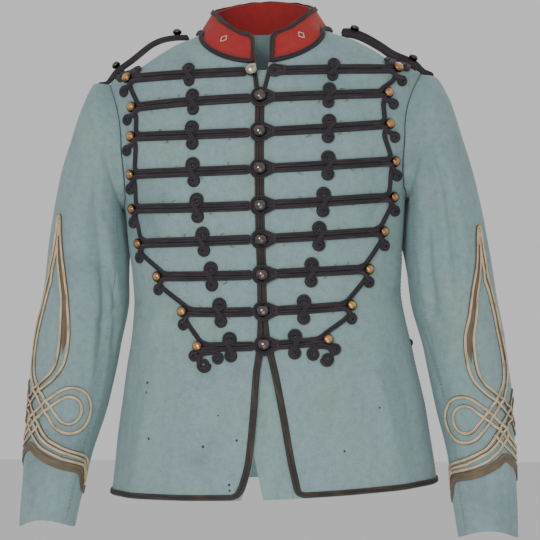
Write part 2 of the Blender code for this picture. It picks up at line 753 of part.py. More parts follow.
def sleeve_piece(side, name, first_angle, last_angle):
    """The top or under piece of a sleeve, between its two seams."""
    sign = dict(SIDES)[side]
    angles = range(first_angle, last_angle + 1, ARMHOLE_STEP)
    rings = np.linspace(0, CUFF_RING, SLEEVE_ROWS)
    outer = np.zeros((len(rings), len(angles), 3))
    normals = np.zeros_like(outer)
    for i, ring in enumerate(rings):
        for j, angle in enumerate(angles):
            point, _, _, normal = outward(lambda a, r: sleeve(side, a, r), (angle, ring), SLEEVE_STEPS)
            outer[i, j] = point
            normals[i, j] = -sign * normal
    for j, angle in enumerate(angles):
        turn, height = armhole(angle)
        rim = outward(torso, (sign * turn, height), TORSO_STEPS)[3]
        outer[0, j] += LAY_GAP * rim
        normals[0, j] = rim
    outer = cut_back(outer)
    return new_object(f"{name}_{side}", wall(outer, outer - CLOTH * normals), BLUE, WOOL_ROUGHNESS)


def collar_places():
    """Places along the collar, over the columns of the fronts and backs that it is sewn to."""
    right_end, left_end = neck_ends()
    right = np.linspace(360 - right_end, 270, FRONT_COLUMNS + 1)
    behind = np.linspace(270, 90, 2 * BACK_COLUMNS + 1)
    left = np.linspace(90, left_end, FRONT_COLUMNS + 1)
    turns = np.concatenate((right, behind[1:], left[1:]))
    return (turns[0] - turns) / (turns[0] - turns[-1])


def make_collar():
    places = collar_places()
    heights = np.linspace(0, 1, COLLAR_ROWS + 1)
    outer = np.zeros((len(heights), len(places), 3))
    normals = np.zeros_like(outer)
    for i, up in enumerate(heights):
        for j, along in enumerate(places):
            point, _, _, normal = outward(collar, (along, up), COLLAR_STEPS)
            outer[i, j] = point
            normals[i, j] = -normal
    for j, along in enumerate(places):
        normals[0, j] = outward(torso, neck_place(along), TORSO_STEPS)[3]
    outer = cut_back(outer)
    return new_object("collar", wall(outer, outer - COLLAR_CLOTH * normals), RED, WOOL_ROUGHNESS)


def make_collar_braids(panels):
    """The cord round the collar's base, and the braid along its top and front ends."""

    def facing_out(along, up):
        return collar(1 - along, up)

    between = (1 - collar_places())[-2:0:-1]
    base = [(along, BASE_CORD_UP) for along in (COLLAR_INSET, *between, 1 - COLLAR_INSET)]
    cord = flat_section(COLLAR_CORD_WIDTH, COLLAR_CORD_HEIGHT)
    mesh = laid(facing_out, COLLAR_STEPS, base, cord, panels)
    new_object("collar_base_cord", mesh, DARK, CORD_ROUGHNESS)
    top = [(along, EDGE_BRAID_UP) for along in (3 * COLLAR_INSET, *between[1:-1], 1 - 3 * COLLAR_INSET)]
    start = [(COLLAR_INSET, up) for up in COLLAR_END_UPS]
    end = [(1 - COLLAR_INSET, up) for up in COLLAR_END_UPS[::-1]]
    braid = flat_section(COLLAR_BRAID_WIDTH, COLLAR_BRAID_HEIGHT)
    mesh = laid(facing_out, COLLAR_STEPS, [*start, *top, *end], braid, panels)
    new_object("collar_edge_braid", mesh, BROWN, CORD_ROUGHNESS)


def make_underlap():
    heights = [height for _, _, height, _ in panel_rows(behind=False)[:-1]]
    places = np.linspace(-UNDERLAP_REACH, UNDERLAP_SEWN, UNDERLAP_COLUMNS + 1)
    outer = np.zeros((len(heights), len(places), 3))
    inner = np.zeros_like(outer)
    for i, height in enumerate(heights):
        for j, place in enumerate(places):
            x = EDGES.at("left", height) + place
            point, _, _, normal = outward(front, (x, height), MM_STEPS)
            outer[i, j] = point - (CLOTH + UNDERLAP_GAP) * normal
            inner[i, j] = outer[i, j] - UNDERLAP_CLOTH * normal
    new_object("underlap", wall(outer, inner), BLUE, WOOL_ROUGHNESS)


def edge_width(height):
    """The braid's width down a front edge: narrow where the fronts meet, wider where they part."""
    parted = smooth_step((PARTING_HEIGHT - height) / PARTING_LENGTH)
    return EDGE_CLOSED_WIDTH + (EDGE_OPEN_WIDTH - EDGE_CLOSED_WIDTH) * parted


def make_edge_braid(side, panels):
    """The braid down one front edge and along the hem to the centre back."""
    sign = dict(SIDES)[side]
    path = []
    widths = []
    corner = HEM + EDGE_HEM_WIDTH / 2 + HEM_INSET
    for height in np.linspace(NECK_FRONT - EDGE_TOP_DROP, corner + CORNER_RISE, EDGE_ROWS):
        width = edge_width(height)
        path.append((sign * front_turn(EDGES.at(side, height) + width / 2 + EDGE_INSET, height), height))
        widths.append(width)
    turn_in = front_turn(EDGES.at(side, corner) + EDGE_OPEN_WIDTH / 2 + CORNER_IN, corner)
    path.append((sign * turn_in, corner + CORNER_CUT))
    widths.append(CORNER_WIDTH_SHARE * EDGE_OPEN_WIDTH)
    for turn in np.linspace(turn_in + CORNER_TURN, BACK_END_TURN, HEM_COLUMNS):
        path.append((sign * turn, corner))
        widths.append(EDGE_HEM_WIDTH)
    sections = [double_section(width, EDGE_HEIGHT) for width in widths]
    rings = laid_rings(torso, TORSO_STEPS, path, sections, [LAY_GAP] * len(path), panels)
    return new_object(f"edge_braid_{side}", tube(rings), BROWN, CORD_ROUGHNESS)


def eye(place, sign, radius, panels):
    """A coiled eye: a low disc with a dimple, flat on the front."""
    x, height = place
    point, along_x, _, normal = outward(front, (sign * x, height), MM_STEPS)
    sideways = unit(along_x)
    upward = np.cross(normal, sideways)
    turns = [math.pi * step / EYE_SIDES for step in range(2 * EYE_SIDES)]
    rim = [point + radius * (sideways * math.cos(turn) + upward * math.sin(turn)) for turn in turns]
    highest = max(0.0, *(standing(panels, foot, normal) for foot in rim))
    seat = point + normal * (EYE_GAP + EYE_HEIGHT / 2 + highest)
    mesh = bmesh.new()
    bmesh.ops.create_cone(
        mesh, cap_ends=True, segments=EYE_SIDES, radius1=radius, radius2=EYE_TAPER * radius, depth=EYE_HEIGHT
    )
    top = max(mesh.faces, key=lambda face: face.calc_center_median().z)
    bmesh.ops.poke(mesh, faces=[top], offset=-EYE_DIMPLE)
    turn = Vector((0, 0, 1)).rotation_difference(Vector(normal))
    bmesh.ops.transform(mesh, matrix=Matrix.Translation(seat) @ turn.to_matrix().to_4x4(), verts=mesh.verts)
    return mesh


def on_front(places, sign, section, panels, lift=LAY_GAP):
    """A cord on the front along places given as distance from the middle and height."""
    return laid(front, MM_STEPS, [(sign * x, height) for x, height in places], section, panels, lift)


def bar_pieces(row, side, panels):
    """A row's double cord, with its two middle eyes."""
    sign = dict(SIDES)[side]
    if side == "left":
        inner_end = LOOP_NECK - BAR_UNDER_LOOP + (FIRST_LOOP_MIDDLE if row == 1 else BUTTON_LINE)
    elif row == 1:
        inner_end = FIRST_BUTTON_CLEARANCE - FIRST_BUTTON_PLACE
    else:
        inner_end = LOOP_RADIUS + LOOP_WIDTH / 2 + LOOP_CLEARANCE
    outer_end = beside(row_end(side, row), -OUTER_BUTTON_RADIUS - BAR_CLEARANCE, 0)[0]
    count = max(3, round((outer_end - inner_end) / BAR_STEP))
    shares = 1 - np.linspace(1, 0, count + 1) ** BAR_CROWDING
    places = [row_place(side, row, inner_end + (outer_end - inner_end) * share) for share in shares]
    yield on_front(places, sign, double_section(BAR_WIDTH, BAR_HEIGHT), panels)
    x, height = row_place(side, row, ROWS.at(f"eyes_{side}", row))
    yield eye((x, height + UPPER_EYE_RISE), sign, UPPER_EYE_RADIUS, panels)
    yield eye((x - LOWER_EYE_IN, height - LOWER_EYE_DROP), sign, LOWER_EYE_RADIUS, panels)


def end_pieces(row, side, panels):
    """The eye under a row's outer button and the cord that links it to the row below."""
    sign = dict(SIDES)[side]
    button = row_end(side, row)
    next_button = row_end(side, row + 1)
    place = beside(button, OUTER_EYE_OUT, -OUTER_EYE_DROP)
    yield eye(place, sign, OUTER_EYE_RADIUS, panels)
    section = flat_section(LINK_WIDTH, LINK_HEIGHT)
    curl = [beside(button, out, up) for out, up in OUTER_EYE_TIE]
    yield on_front(smooth_path((*curl, place), TIE_STEP), sign, section, panels, CURL_GAP)
    link = [beside(button, out, up) for out, up in LINK_START]
    link += [beside(next_button, out, up) for out, up in LINK_END]
    yield on_front(smooth_path(link, LINK_STEP), sign, section, panels, TIE_GAP)


def first_row_pieces(side, panels):
    """The eyes beside the first row's outer button, tied by a cord round its foot."""
    sign = dict(SIDES)[side]
    button = row_end(side, 1)
    for out, up in FIRST_ROW_EYES:
        yield eye(beside(button, out, up), sign, FIRST_ROW_EYE_RADIUS, panels)
    path = []
    for angle in FIRST_ROW_TIE_ANGLES:
        around = math.radians(angle)
        reach = FIRST_ROW_TIE_RADIUS
        path.append(beside(button, reach * math.cos(around), reach * math.sin(around)))
    yield on_front(path, sign, flat_section(FIRST_ROW_TIE_WIDTH, LINK_HEIGHT), panels, TIE_GAP)


def last_row_pieces(side, panels):
    """The three eyes under the last row, tied by a cord."""
    sign = dict(SIDES)[side]
    button = row_end(side, len(FROGGING_ROWS))
    for out, up in LAST_ROW_EYES:
        yield eye(beside(button, out, up), sign, OUTER_EYE_RADIUS, panels)
    path = [beside(button, out, up) for out, up in LAST_ROW_TIE]
    yield on_front(smooth_path(path, TIE_STEP), sign, flat_section(LINK_WIDTH, LINK_HEIGHT), panels, TIE_GAP)


def loop_piece(row, panels):
    """The left front's loop round a centre button, from the end of its bar and back."""
    middle = FIRST_LOOP_MIDDLE if row == 1 else BUTTON_LINE
    height = ROWS.at("height", row)
    path = [(middle + LOOP_NECK, height + LOOP_SPREAD)]
    for angle in LOOP_ANGLES:
        around = math.radians(angle)
        path.append((middle + LOOP_RADIUS * math.cos(around), height + LOOP_RADIUS * math.sin(around)))
    path.append((middle + LOOP_NECK, height - LOOP_SPREAD))
    lifts = np.full(len(path), LOOP_LIFT)
    lifts[[0, -1]] = LOOP_END_LIFT
    return on_front(path, 1, flat_section(LOOP_WIDTH, LOOP_HEIGHT), panels, lifts)


def make_frogging(side, panels):
    """One side's net of cords, its pieces joined into one body."""
    pieces = []
    for row in range(1, len(FROGGING_ROWS) + 1):
        pieces.extend(bar_pieces(row, side, panels))
        if side == "left":
            pieces.append(loop_piece(row, panels))
        if row < len(FROGGING_ROWS):
            pieces.extend(end_pieces(row, side, panels))
    pieces.extend(first_row_pieces(side, panels))
    pieces.extend(last_row_pieces(side, panels))
    others = bpy.data.collections.new(f"frogging_{side}_pieces")
    others.hide_render = True
    HELPERS.children.link(others)
    obj = new_object(f"frogging_{side}", pieces[0], DARK, CORD_ROUGHNESS)
    for index, mesh in enumerate(pieces[1:]):
        bmesh.ops.scale(mesh, vec=(MM, MM, MM), verts=mesh.verts)
        data = bpy.data.meshes.new(f"frogging_{side}_piece_{index}")
        mesh.to_mesh(data)
        mesh.free()
        helper = bpy.data.objects.new(data.name, data)
        helper.hide_render = True
        helper.display_type = "WIRE"
        others.objects.link(helper)
    join = obj.modifiers.new("join", "BOOLEAN")
    join.operation = "UNION"
    join.operand_type = "COLLECTION"
    join.collection = others


def button_mesh(radius):
    """A ball button on a flat foot, turned from its profile."""
    height = BUTTON_HEIGHT_RATIO * radius
    mesh = bmesh.new()
    points = [mesh.verts.new((r * radius, 0, z * height)) for r, z in BUTTON_PROFILE]
    edges = [mesh.edges.new(pair) for pair in zip(points, points[1:])]
    bmesh.ops.spin(
        mesh, geom=points + edges, cent=(0, 0, 0), axis=(0, 0, 1), angle=math.tau, steps=BUTTON_SIDES
    )
    bmesh.ops.remove_doubles(mesh, verts=mesh.verts, dist=MM)
    bmesh.ops.recalc_face_normals(mesh, faces=mesh.faces)
    return mesh


def place_button(name, radius, point, normal, colour):
    obj = new_object(name, button_mesh(radius), colour, METAL_ROUGHNESS, metallic=1.0)
    obj.rotation_mode = "QUATERNION"
    obj.rotation_quaternion = Vector((0, 0, 1)).rotation_difference(Vector(normal))
    obj.location = Vector(point) * MM


def seat_on(panels, point, normal, radius):
    """The point moved along its normal until a round foot there clears the panels by a button's gap."""
    normal = Vector(normal)
    beside = normal.orthogonal().normalized()
    feet = [np.array(point)]
    for step in range(2 * BUTTON_SIDES):
        away = np.array(Matrix.Rotation(math.pi * step / BUTTON_SIDES, 3, normal) @ beside)
        feet.extend(point + share * radius * away for share in CHORD_SHARES[1:])
    highest = max(standing(panels, foot, np.array(normal)) for foot in feet)
    return point + np.array(normal) * (highest + BUTTON_GAP)


def make_centre_buttons(panels):
    for row in range(1, len(FROGGING_ROWS) + 1):
        place = (FIRST_BUTTON_PLACE if row == 1 else BUTTON_LINE, ROWS.at("height", row))
        point, _, _, normal = outward(front, place, MM_STEPS)
        point = seat_on(panels, point, normal, BUTTON_FOOT * CENTRE_BUTTON_RADIUS)
        place_button(f"centre_button_{row}", CENTRE_BUTTON_RADIUS, point, normal, BRONZE)


def make_outer_buttons(side, panels):
    sign = dict(SIDES)[side]
    for row in range(1, len(FROGGING_ROWS) + 1):
        x, height = row_end(side, row)
        point, _, _, normal = outward(front, (sign * x, height), MM_STEPS)
        point = seat_on(panels, point, normal, BUTTON_FOOT * OUTER_BUTTON_RADIUS)
        place_button(f"outer_button_{side}_{row}", OUTER_BUTTON_RADIUS, point, normal, BRASS)


def make_waist_button(side, panels):
    turn = dict(SIDES)[side] * WAIST_BUTTON_TURN
    point, _, _, normal = outward(torso, (turn, WAIST_BUTTON_HEIGHT), TORSO_STEPS)
    point = seat_on(panels, point, normal, BUTTON_FOOT * WAIST_BUTTON_RADIUS)
    place_button(f"waist_button_{side}", WAIST_BUTTON_RADIUS, point, normal, BRONZE)


def shoulder_line(side):
    """Distance from the middle and height along the shoulder, from the collar to the sleeve's head."""
    sign = dict(SIDES)[side]
    points = [torso(sign * 90, height) for height in np.linspace(NECK_SIDE, ARMHOLE_TOP, SHOULDER_SAMPLES)]
    points += [sleeve(side, 90, ring) for ring in SLEEVE_HEAD_RINGS]
    line = np.array(points)
    return np.abs(line[:, 0]), line[:, 2]


def make_shoulder_cord(side):
    """The double cord over a shoulder, and its two buttons."""
    sign = dict(SIDES)[side]
    distances, heights = shoulder_line(side)
    places = np.linspace(SHOULDER_CORD[0][0], SHOULDER_CORD[-1][0], SHOULDER_CORD_RINGS)
    path = np.array([(x, np.interp(x, distances, heights) + CORD.at(side, x)) for x in places])
    slopes = np.gradient(path, axis=0)
    rings = []
    tops = []
    for (x, z), (dx, dz) in zip(path, slopes):
        up = unit(np.array((-dz * sign, 0.0, dx)))
        base = np.array((x * sign, 0.0, z))
        section = double_section(SHOULDER_CORD_WIDTH, SHOULDER_CORD_HEIGHT)
        rings.append(np.array([base + up * height + np.array((0, across, 0)) for across, height in section]))
        tops.append((x, base + up * (SHOULDER_CORD_HEIGHT + BUTTON_GAP), up))
    new_object(f"shoulder_cord_{side}", tube(rings), DARK, CORD_ROUGHNESS)
    for place, at in (("neck", NECK_BUTTON_AT), ("arm", ARM_BUTTON_AT)):
        _, point, normal = min(tops, key=lambda top: abs(top[0] - at))
        place_button(f"shoulder_button_{side}_{place}", SHOULDER_BUTTON_RADIUS, point, normal, BRONZE)


def knot_half():
    """Half of the knot's route: down a branch, across, round the far loop and back across to the tail."""
    loop = []
    for angle in KNOT_LOOP_ANGLES:
        around = math.radians(angle)
        across = KNOT_LOOP_MIDDLE + KNOT_LOOP_RADIUS * math.cos(around)
        loop.append((across, KNOT_LOOP_RADIUS * math.sin(around)))
    return [*KNOT_BRANCH, *loop, *KNOT_TAIL]


def crossings(path):
    """Distances along a route of its meetings with itself, in the order in which it passes them."""
    lengths = np.concatenate(([0], np.cumsum(np.linalg.norm(np.diff(path, axis=0), axis=1))))
    passes = []
    for i in range(len(path) - 1):
        for j in range(i + 2, len(path) - 1):
            first = path[i + 1] - path[i]
            second = path[j + 1] - path[j]
            turn = first[0] * second[1] - first[1] * second[0]
            if abs(turn) < 1e-9:
                continue
            gap = path[j] - path[i]
            t = (gap[0] * second[1] - gap[1] * second[0]) / turn
            s = (gap[0] * first[1] - gap[1] * first[0]) / turn
            if 0 <= t < 1 and 0 <= s < 1:
                passes.append(lengths[i] + t * (lengths[i + 1] - lengths[i]))
                passes.append(lengths[j] + s * (lengths[j + 1] - lengths[j]))
    return lengths, sorted(passes)


def make_cuff_knot(side, panels):
    """The braid of a cuff knot, one length that passes over and under itself by turns."""
    half = knot_half()
    mirrored = [(-across, up) for across, up in half[1:]]
    path = np.array(smooth_path([*half[::-1], *mirrored], KNOT_STEP))
    lengths, passes = crossings(path)
    lifts = []
    for length in lengths:
        nearest = min(abs(length - over) for over in passes[::2])
        raised = smooth_step((KNOT_OVER + KNOT_RAMP - nearest) / KNOT_RAMP)
        lifts.append(LAY_GAP + raised * (KNOT_HEIGHT + KNOT_SPACE))
    section = flat_section(KNOT_WIDTH, KNOT_HEIGHT)
    mesh = laid(cuff_surface(side), MM_STEPS, path, section, panels, np.array(lifts))
    new_object(f"cuff_knot_{side}", mesh, GOLD_THREAD, BRAID_ROUGHNESS)


def make_cuff_band(side, panels):
    """The pointed band round a cuff, a closed hoop."""
    path = []
    for index in range(-1, BAND_SAMPLES + 2):
        angle = 180 - 360 * index / BAND_SAMPLES
        away = abs((angle + 180) % 360 - 180)
        path.append((math.radians(-angle) * BAND_RADIUS, BAND.at("height", away)))
    sections = [flat_section(BAND_WIDTH, BAND_HEIGHT)] * len(path)

    def round_sleeve(across, up):
        ring = ring_at(side, KNOT_HEIGHT_AT[side] + up)
        return sleeve(side, KNOT_ANGLE + dict(SIDES)[side] * math.degrees(across / BAND_RADIUS), ring)

    rings = laid_rings(round_sleeve, MM_STEPS, path, sections, [BAND_GAP] * len(path), panels)
    new_object(f"cuff_band_{side}", tube(rings[1:-2], joined=True), BAND_BROWN, CORD_ROUGHNESS)


for old in list(bpy.data.objects):
    bpy.data.objects.remove(old)
PARTS = bpy.data.collections.new(OBJECT_NAME)
HELPERS = bpy.data.collections.new(f"{OBJECT_NAME}_helpers")
HELPERS.hide_render = True
bpy.context.scene.collection.children.link(PARTS)
bpy.context.scene.collection.children.link(HELPERS)

make_underlap()
BODY = []
EDGING = []
for side_name, _ in SIDES:
    front_piece = panel(side_name, behind=False)
    back_piece = panel(side_name, behind=True)
    top_piece = sleeve_piece(side_name, "sleeve_top", FRONT_SEAM_ANGLE, BACK_SEAM_ANGLE)
    under_piece = sleeve_piece(side_name, "sleeve_under", BACK_SEAM_ANGLE, FRONT_SEAM_ANGLE + 360)
    body_faces = faces_of(front_piece, back_piece)
    sleeve_faces = faces_of(top_piece, under_piece)
    BODY.extend(body_faces)
    EDGING.extend(faces_of(make_edge_braid(side_name, body_faces)))
    make_frogging(side_name, body_faces)
    make_outer_buttons(side_name, body_faces)
    make_waist_button(side_name, body_faces)
    make_shoulder_cord(side_name)
    make_cuff_knot(side_name, sleeve_faces)
    make_cuff_band(side_name, sleeve_faces)
make_centre_buttons([*BODY, *EDGING])
make_collar_braids([*BODY, *faces_of(make_collar())])
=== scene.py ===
"""Looks of the hussar jacket, empty and in its worn shape: wool, cord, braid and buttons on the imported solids.

The front faces -Y, the wearer's left is +X and up is +Z. Tables are in millimetres and degrees, meshes in
metres.
"""

import math

import bpy
import numpy as np
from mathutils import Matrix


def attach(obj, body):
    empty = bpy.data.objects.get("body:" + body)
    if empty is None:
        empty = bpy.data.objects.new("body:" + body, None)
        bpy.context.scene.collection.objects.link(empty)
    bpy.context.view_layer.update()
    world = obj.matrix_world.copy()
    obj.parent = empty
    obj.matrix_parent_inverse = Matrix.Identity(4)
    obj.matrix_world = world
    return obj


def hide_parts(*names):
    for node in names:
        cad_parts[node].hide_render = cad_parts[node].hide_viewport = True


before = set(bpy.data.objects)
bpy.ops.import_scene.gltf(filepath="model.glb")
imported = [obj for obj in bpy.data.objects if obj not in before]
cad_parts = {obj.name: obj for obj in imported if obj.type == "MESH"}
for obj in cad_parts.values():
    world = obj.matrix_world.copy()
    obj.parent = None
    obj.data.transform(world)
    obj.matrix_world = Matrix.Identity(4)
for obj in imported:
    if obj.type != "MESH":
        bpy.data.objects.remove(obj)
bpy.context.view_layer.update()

bl_info = {
    "name": "Hussar Jacket",
    "version": (1, 0, 0),
    "blender": (4, 5, 0),
    "location": "View3D > Sidebar > Jacket",
    "description": "Dresses the solids of a hussar jacket in wool, cord, braid and buttons",
    "category": "Object",
}

MM = 0.001
SIDES = {"right": -1, "left": 1}

# Cut of the body, in the solids' own measures
HEM = -574.5
ARMHOLE_TOP = -45
ARMHOLE_BOTTOM = -205
ARMHOLE_FRONT_TURN = 27
ARMHOLE_BACK_TURN = 30
NECK_SIDE = 14
NECK_FRONT = -33
NECK_BACK = 22
NECK_FRONT_SWEEP = 4.4
SWEEP = 2
FRONT_AT_SHOULDER = -66
BACK_AT_SHOULDER = -38
SEAM_GAP = 0.4
BODY_SEAM_GAP = 0.08
LAY_GAP = 0.5

# Each section: half width, depths in front and behind, shift to the left and rise across
TORSO_COLUMNS = "height half_width front back drift rise"
TORSO_SECTIONS = (
    (-590, 213, 152, 142, 12, 0.040),
    (-485, 199.5, 140, 132, 9.5, 0.040),
    (-410, 186, 130, 121, 6.5, 0.042),
    (-361, 177, 119, 109, 4.5, 0.044),
    (-326, 173, 115, 104, 3, 0.045),
    (-292, 175, 117, 106, 2.5, 0.045),
    (-250, 179, 124, 111, 1.5, 0.045),
    (-205, 183, 130, 115, 1, 0.045),
    (-125, 203, 121, 110, 0, 0.044),
    (-45, 202, 97, 88, 0, 0.028),
    (-26, 163, 92, 84, 0, 0.026),
    (-12, 141, 87, 81, 0, 0.025),
    (1, 118, 81, 77, -0.5, 0.025),
    (14, 86, 75, 73, -1, 0.025),
    (24, 80, 70, 70, -1, 0.025),
)

# How far each front edge stands from the middle
EDGE_COLUMNS = "height right left"
FRONT_EDGES = (
    (-600, 36, 36),
    (-574.5, 32.5, 33.3),
    (-555, 25, 30),
    (-530, 18, 25),
    (-477, 11, 17),
    (-420, 5, 8),
    (-392, 1, 3),
    (-375, 0.3, 0.3),
    (-92, 0.3, 0.3),
    (-75, 1, 1.5),
    (-44, 4.5, 8),
    (-20, 8, 12),
)

# Sleeves, ring by ring from the armhole to the cuff
SLEEVE_COLUMNS = "ring outer_x outer_z inner_x inner_z depth centre_y"
SLEEVE_RINGS = {
    "right": (
        (1, 220, -49, 185.5, -214, 59, 0),
        (2, 237, -77, 183.5, -220, 62, 1),
        (3, 254, -126, 182.3, -230, 64, 3),
        (4, 268, -172, 181, -241, 65, 7),
        (5, 280, -232, 178.2, -268, 64, 10),
        (6, 290, -312, 179, -330, 61, 9),
        (7, 301, -380, 189.5, -394, 57, 1),
        (8, 307, -450, 203, -462, 54, -7),
        (9, 311.5, -520, 224, -531, 49, -15),
        (10, 314, -572, 236, -580, 45, -20),
        (11, 317, -624, 245, -624, 43, -24),
    ),
    "left": (
        (1, 219, -42, 187, -202, 59, 0),
        (2, 238, -70, 185.2, -208, 62, 1),
        (3, 256, -122, 184.2, -219, 64, 3),
        (4, 270, -168, 183, -235, 65, 7),
        (5, 285, -232, 181.8, -263, 64, 10),
        (6, 299, -318, 188.5, -330, 61, 9),
        (7, 310.5, -385, 206, -397, 57, 1),
        (8, 318.5, -452, 219, -462, 54, -7),
        (9, 322.5, -524, 236, -532, 49, -15),
        (10, 324.5, -578, 242, -585, 45, -20),
        (11, 326, -634, 249, -634, 43, -24),
    ),
}
CUFF_RING = 11
CUFF_ARCH = 12
FRONT_SEAM_ANGLE = -50
BACK_SEAM_ANGLE = 170

# Width of the dark line of painted shade laid in the sunk armhole seam, against the angle round the armhole
SEAM_SHADE_WIDTHS = (
    (-84, 0.6), (-60, 3), (-10, 2.8), (30, 1.6), (78, 0.6), (120, 0.6), (190, 1.2), (264, 0.6),
)
SEAM_SHADE_LINE = (1, 0.7)
SEAM_SHADE_LIFT = 0.2

# Stitched seams of the body: turn, distance of the stitches from the seam, lowest and highest place and points
BODY_SEAMS = (
    (90, 1.1, HEM + 9, ARMHOLE_BOTTOM - 2, 240),
    (-90, 1.1, HEM + 9, ARMHOLE_BOTTOM - 2, 240),
    (180, 1, HEM + 9, NECK_BACK - 6, 300),
)
SLEEVE_STITCHES_AWAY = 2.4
ARMHOLE_STITCH_RING = 0.12
STITCH_LENGTH = 3
STITCH_GAP = 2
STITCH_WIDTH = 0.7
STITCH_RISE = 0.15
STITCH_RINGS = 4
STITCH_SIDES = 5

# Large soft folds, as the solids have them: turn at top and foot, heights, width in degrees and depth
SKIRT_FLUTES = (
    (34, 40, -395, -640, 9, 3.5),
    (62, 66, -360, -640, 8, 4.5),
    (-40, -43, -400, -640, 9, 3),
    (-66, -70, -350, -640, 8, 4.5),
    (148, 143, -350, -640, 10, 5),
    (-148, -143, -350, -640, 10, 5),
)
SLEEVE_FOLDS = {
    "right": (
        (-14, -22, -190, -440, 14, 3.2),
        (28, 10, -255, -370, 11, 2.2),
        (150, 172, -210, -420, 15, 3),
    ),
    "left": (
        (-12, -20, -130, -330, 12, 3.4),
        (-34, -30, -200, -400, 11, 2.6),
        (156, 178, -210, -420, 15, 3),
    ),
}

# Creases, listed one by one: turn and height of both ends, width, depth (ridges are negative) and sideways bow
BODY_CREASES = (
    (58, -312, 88, -326, 6, 1.6, 4),
    (52, -334, 86, -342, 6.5, 1.8, -3),
    (56, -323, 84, -334, 5, -1, 2),
    (-60, -318, -88, -330, 6, 1.6, -4),
    (-50, -342, -84, -350, 7, 1.6, 3),
    (-55, -331, -84, -340, 5, -0.9, 2),
    (61, -196, 47, -262, 8, 1.8, 5),
    (-61, -200, -46, -270, 8, 1.8, -5),
    (63, -112, 77, -206, 4.5, 1.2, -5),
    (-63, -112, -76, -202, 4.5, 1, 5),
    (86, -150, 88, -285, 9, 2.2, 0),
    (18, -398, 24, -560, 10, 1.2, 6),
    (-20, -410, -27, -565, 11, 1.3, -6),
    (48, -420, 53, -570, 9, -1.5, 4),
    (-53, -430, -57, -570, 9, -1.4, -4),
    (100, -322, 138, -338, 7, 2, 5),
    (-100, -326, -140, -340, 7, 2, -5),
    (106, -345, 146, -352, 7, 1.5, -4),
    (-104, -349, -144, -356, 7, 1.6, 4),
    (122, -190, 136, -268, 9, 2.2, -6),
    (-122, -192, -137, -272, 9, 2.2, 6),
    (165, -70, 150, -160, 10, 1.3, 5),
    (-164, -74, -149, -168, 10, 1.3, -5),
    (168, -400, 166, -565, 9, -1.6, 3),
    (-168, -400, -166, -565, 9, -1.6, -3),
)
SLEEVE_CREASES = {
    "right": (
        (-4, -160, -50, -465, 7.5, 4.2, 7),
        (8, -225, -30, -420, 10, -1.6, 6),
        (-32, -262, -66, -400, 6, 2.8, 4),
        (-64, -330, -14, -384, 6, 1.6, -4),
        (-58, -236, 12, -176, 10, 0.7, -5),
        (60, -300, 24, -352, 7, 1.3, 3),
        (-20, -545, 60, -560, 7, 0.9, 3),
        (112, -250, 150, -400, 9, 2.2, 6),
        (160, -310, 118, -356, 7, 1.7, -4),
        (215, -300, 262, -350, 7, 2, 4),
        (200, -345, 255, -375, 7, 1.7, -4),
        (240, -235, 275, -300, 8, 1.8, 5),
    ),
    "left": (
        (8, -140, 3, -350, 7, 4.2, -4),
        (20, -175, 15, -300, 8, -1.5, -4),
        (-25, -220, -30, -350, 6, 3.2, 3),
        (-66, -322, -16, -372, 6, 1.6, -4),
        (-60, -230, 10, -166, 10, 0.6, -5),
        (-70, -350, -44, -470, 7, 1.8, 4),
        (62, -296, 28, -346, 7, 1.2, 3),
        (-16, -552, 64, -566, 7, 0.9, -3),
        (116, -246, 148, -396, 9, 2, -6),
        (164, -306, 120, -350, 7, 1.7, 4),
        (212, -296, 260, -344, 7, 2, -4),
        (204, -342, 258, -370, 7, 1.6, 4),
        (246, -70, 249, -292, 15, -5.4, 0),
    ),
}
CREASE_DEPTH = 1.7
BODY_MM_PER_DEGREE = 2.6
SLEEVE_MM_PER_DEGREE = 0.95

# Collar
COLLAR_TOP_HALF_WIDTH = 66
COLLAR_TOP_FRONT = 72
COLLAR_TOP_BACK = 64
COLLAR_TOP_FRONT_Z = 5
COLLAR_TOP_SIDE_Z = 45
COLLAR_TOP_BACK_Z = 64
COLLAR_FRONT_SWEEP = 2
COLLAR_BACK_SWEEP = 1.4
COLLAR_END_RIGHT = 9
COLLAR_END_LEFT = 13
COLLAR_INSET = 0.0035
COLLAR_BASE_CORD = (6.4, 3.4)
COLLAR_BASE_UP = 0.05
COLLAR_BRAID = (5.8, 2, 0.4)
COLLAR_BRAID_UP = 0.955
COLLAR_END_UPS = (0.02, 0.14, 0.28, 0.42, 0.56, 0.7, 0.82)
LOZENGE = ((0, 6), (4, 0), (0, -6), (-4, 0), (0, 6))
LOZENGES_ALONG = (0.068, 0.932)
LOZENGE_UP = 0.55
LOZENGE_CORD = (1.5, 1.1)

# Frayed threads of the collar's top edge and front ends: spans and counts along and up, and a thread's taper
FRAYED_ALONG = ((0.03, 0.97, 420), (0.004, 0.01, 40))
FRAYED_UP = ((0.93, 0.99, 420), (0.2, 0.95, 40))
FRAY_TAPER = ((0, 0.22), (0.55, 0.18), (1, 0.06))
FRAY_SEED = 11
FRAY_SIDES = 4

# Underlap behind the left front
UNDERLAP_REACH = 39
UNDERLAP_SEWN = 14
UNDERLAP_GAP = 0.9
UNDERLAP_CLOTH = 1.6

# Edge braids: section, where they widen and draw in from the edge, and their turn into the hem
EDGE_BRAID = (1, 2, 0.45)
EDGE_WIDENS = -338
EDGE_WIDENING = 60
EDGE_PARTS = -385
EDGE_PARTING = 45
EDGE_INSET = 0.65
EDGE_OVERHANG = 0.15
CORNER_RISE = 9
CORNER_TURN = 1.8

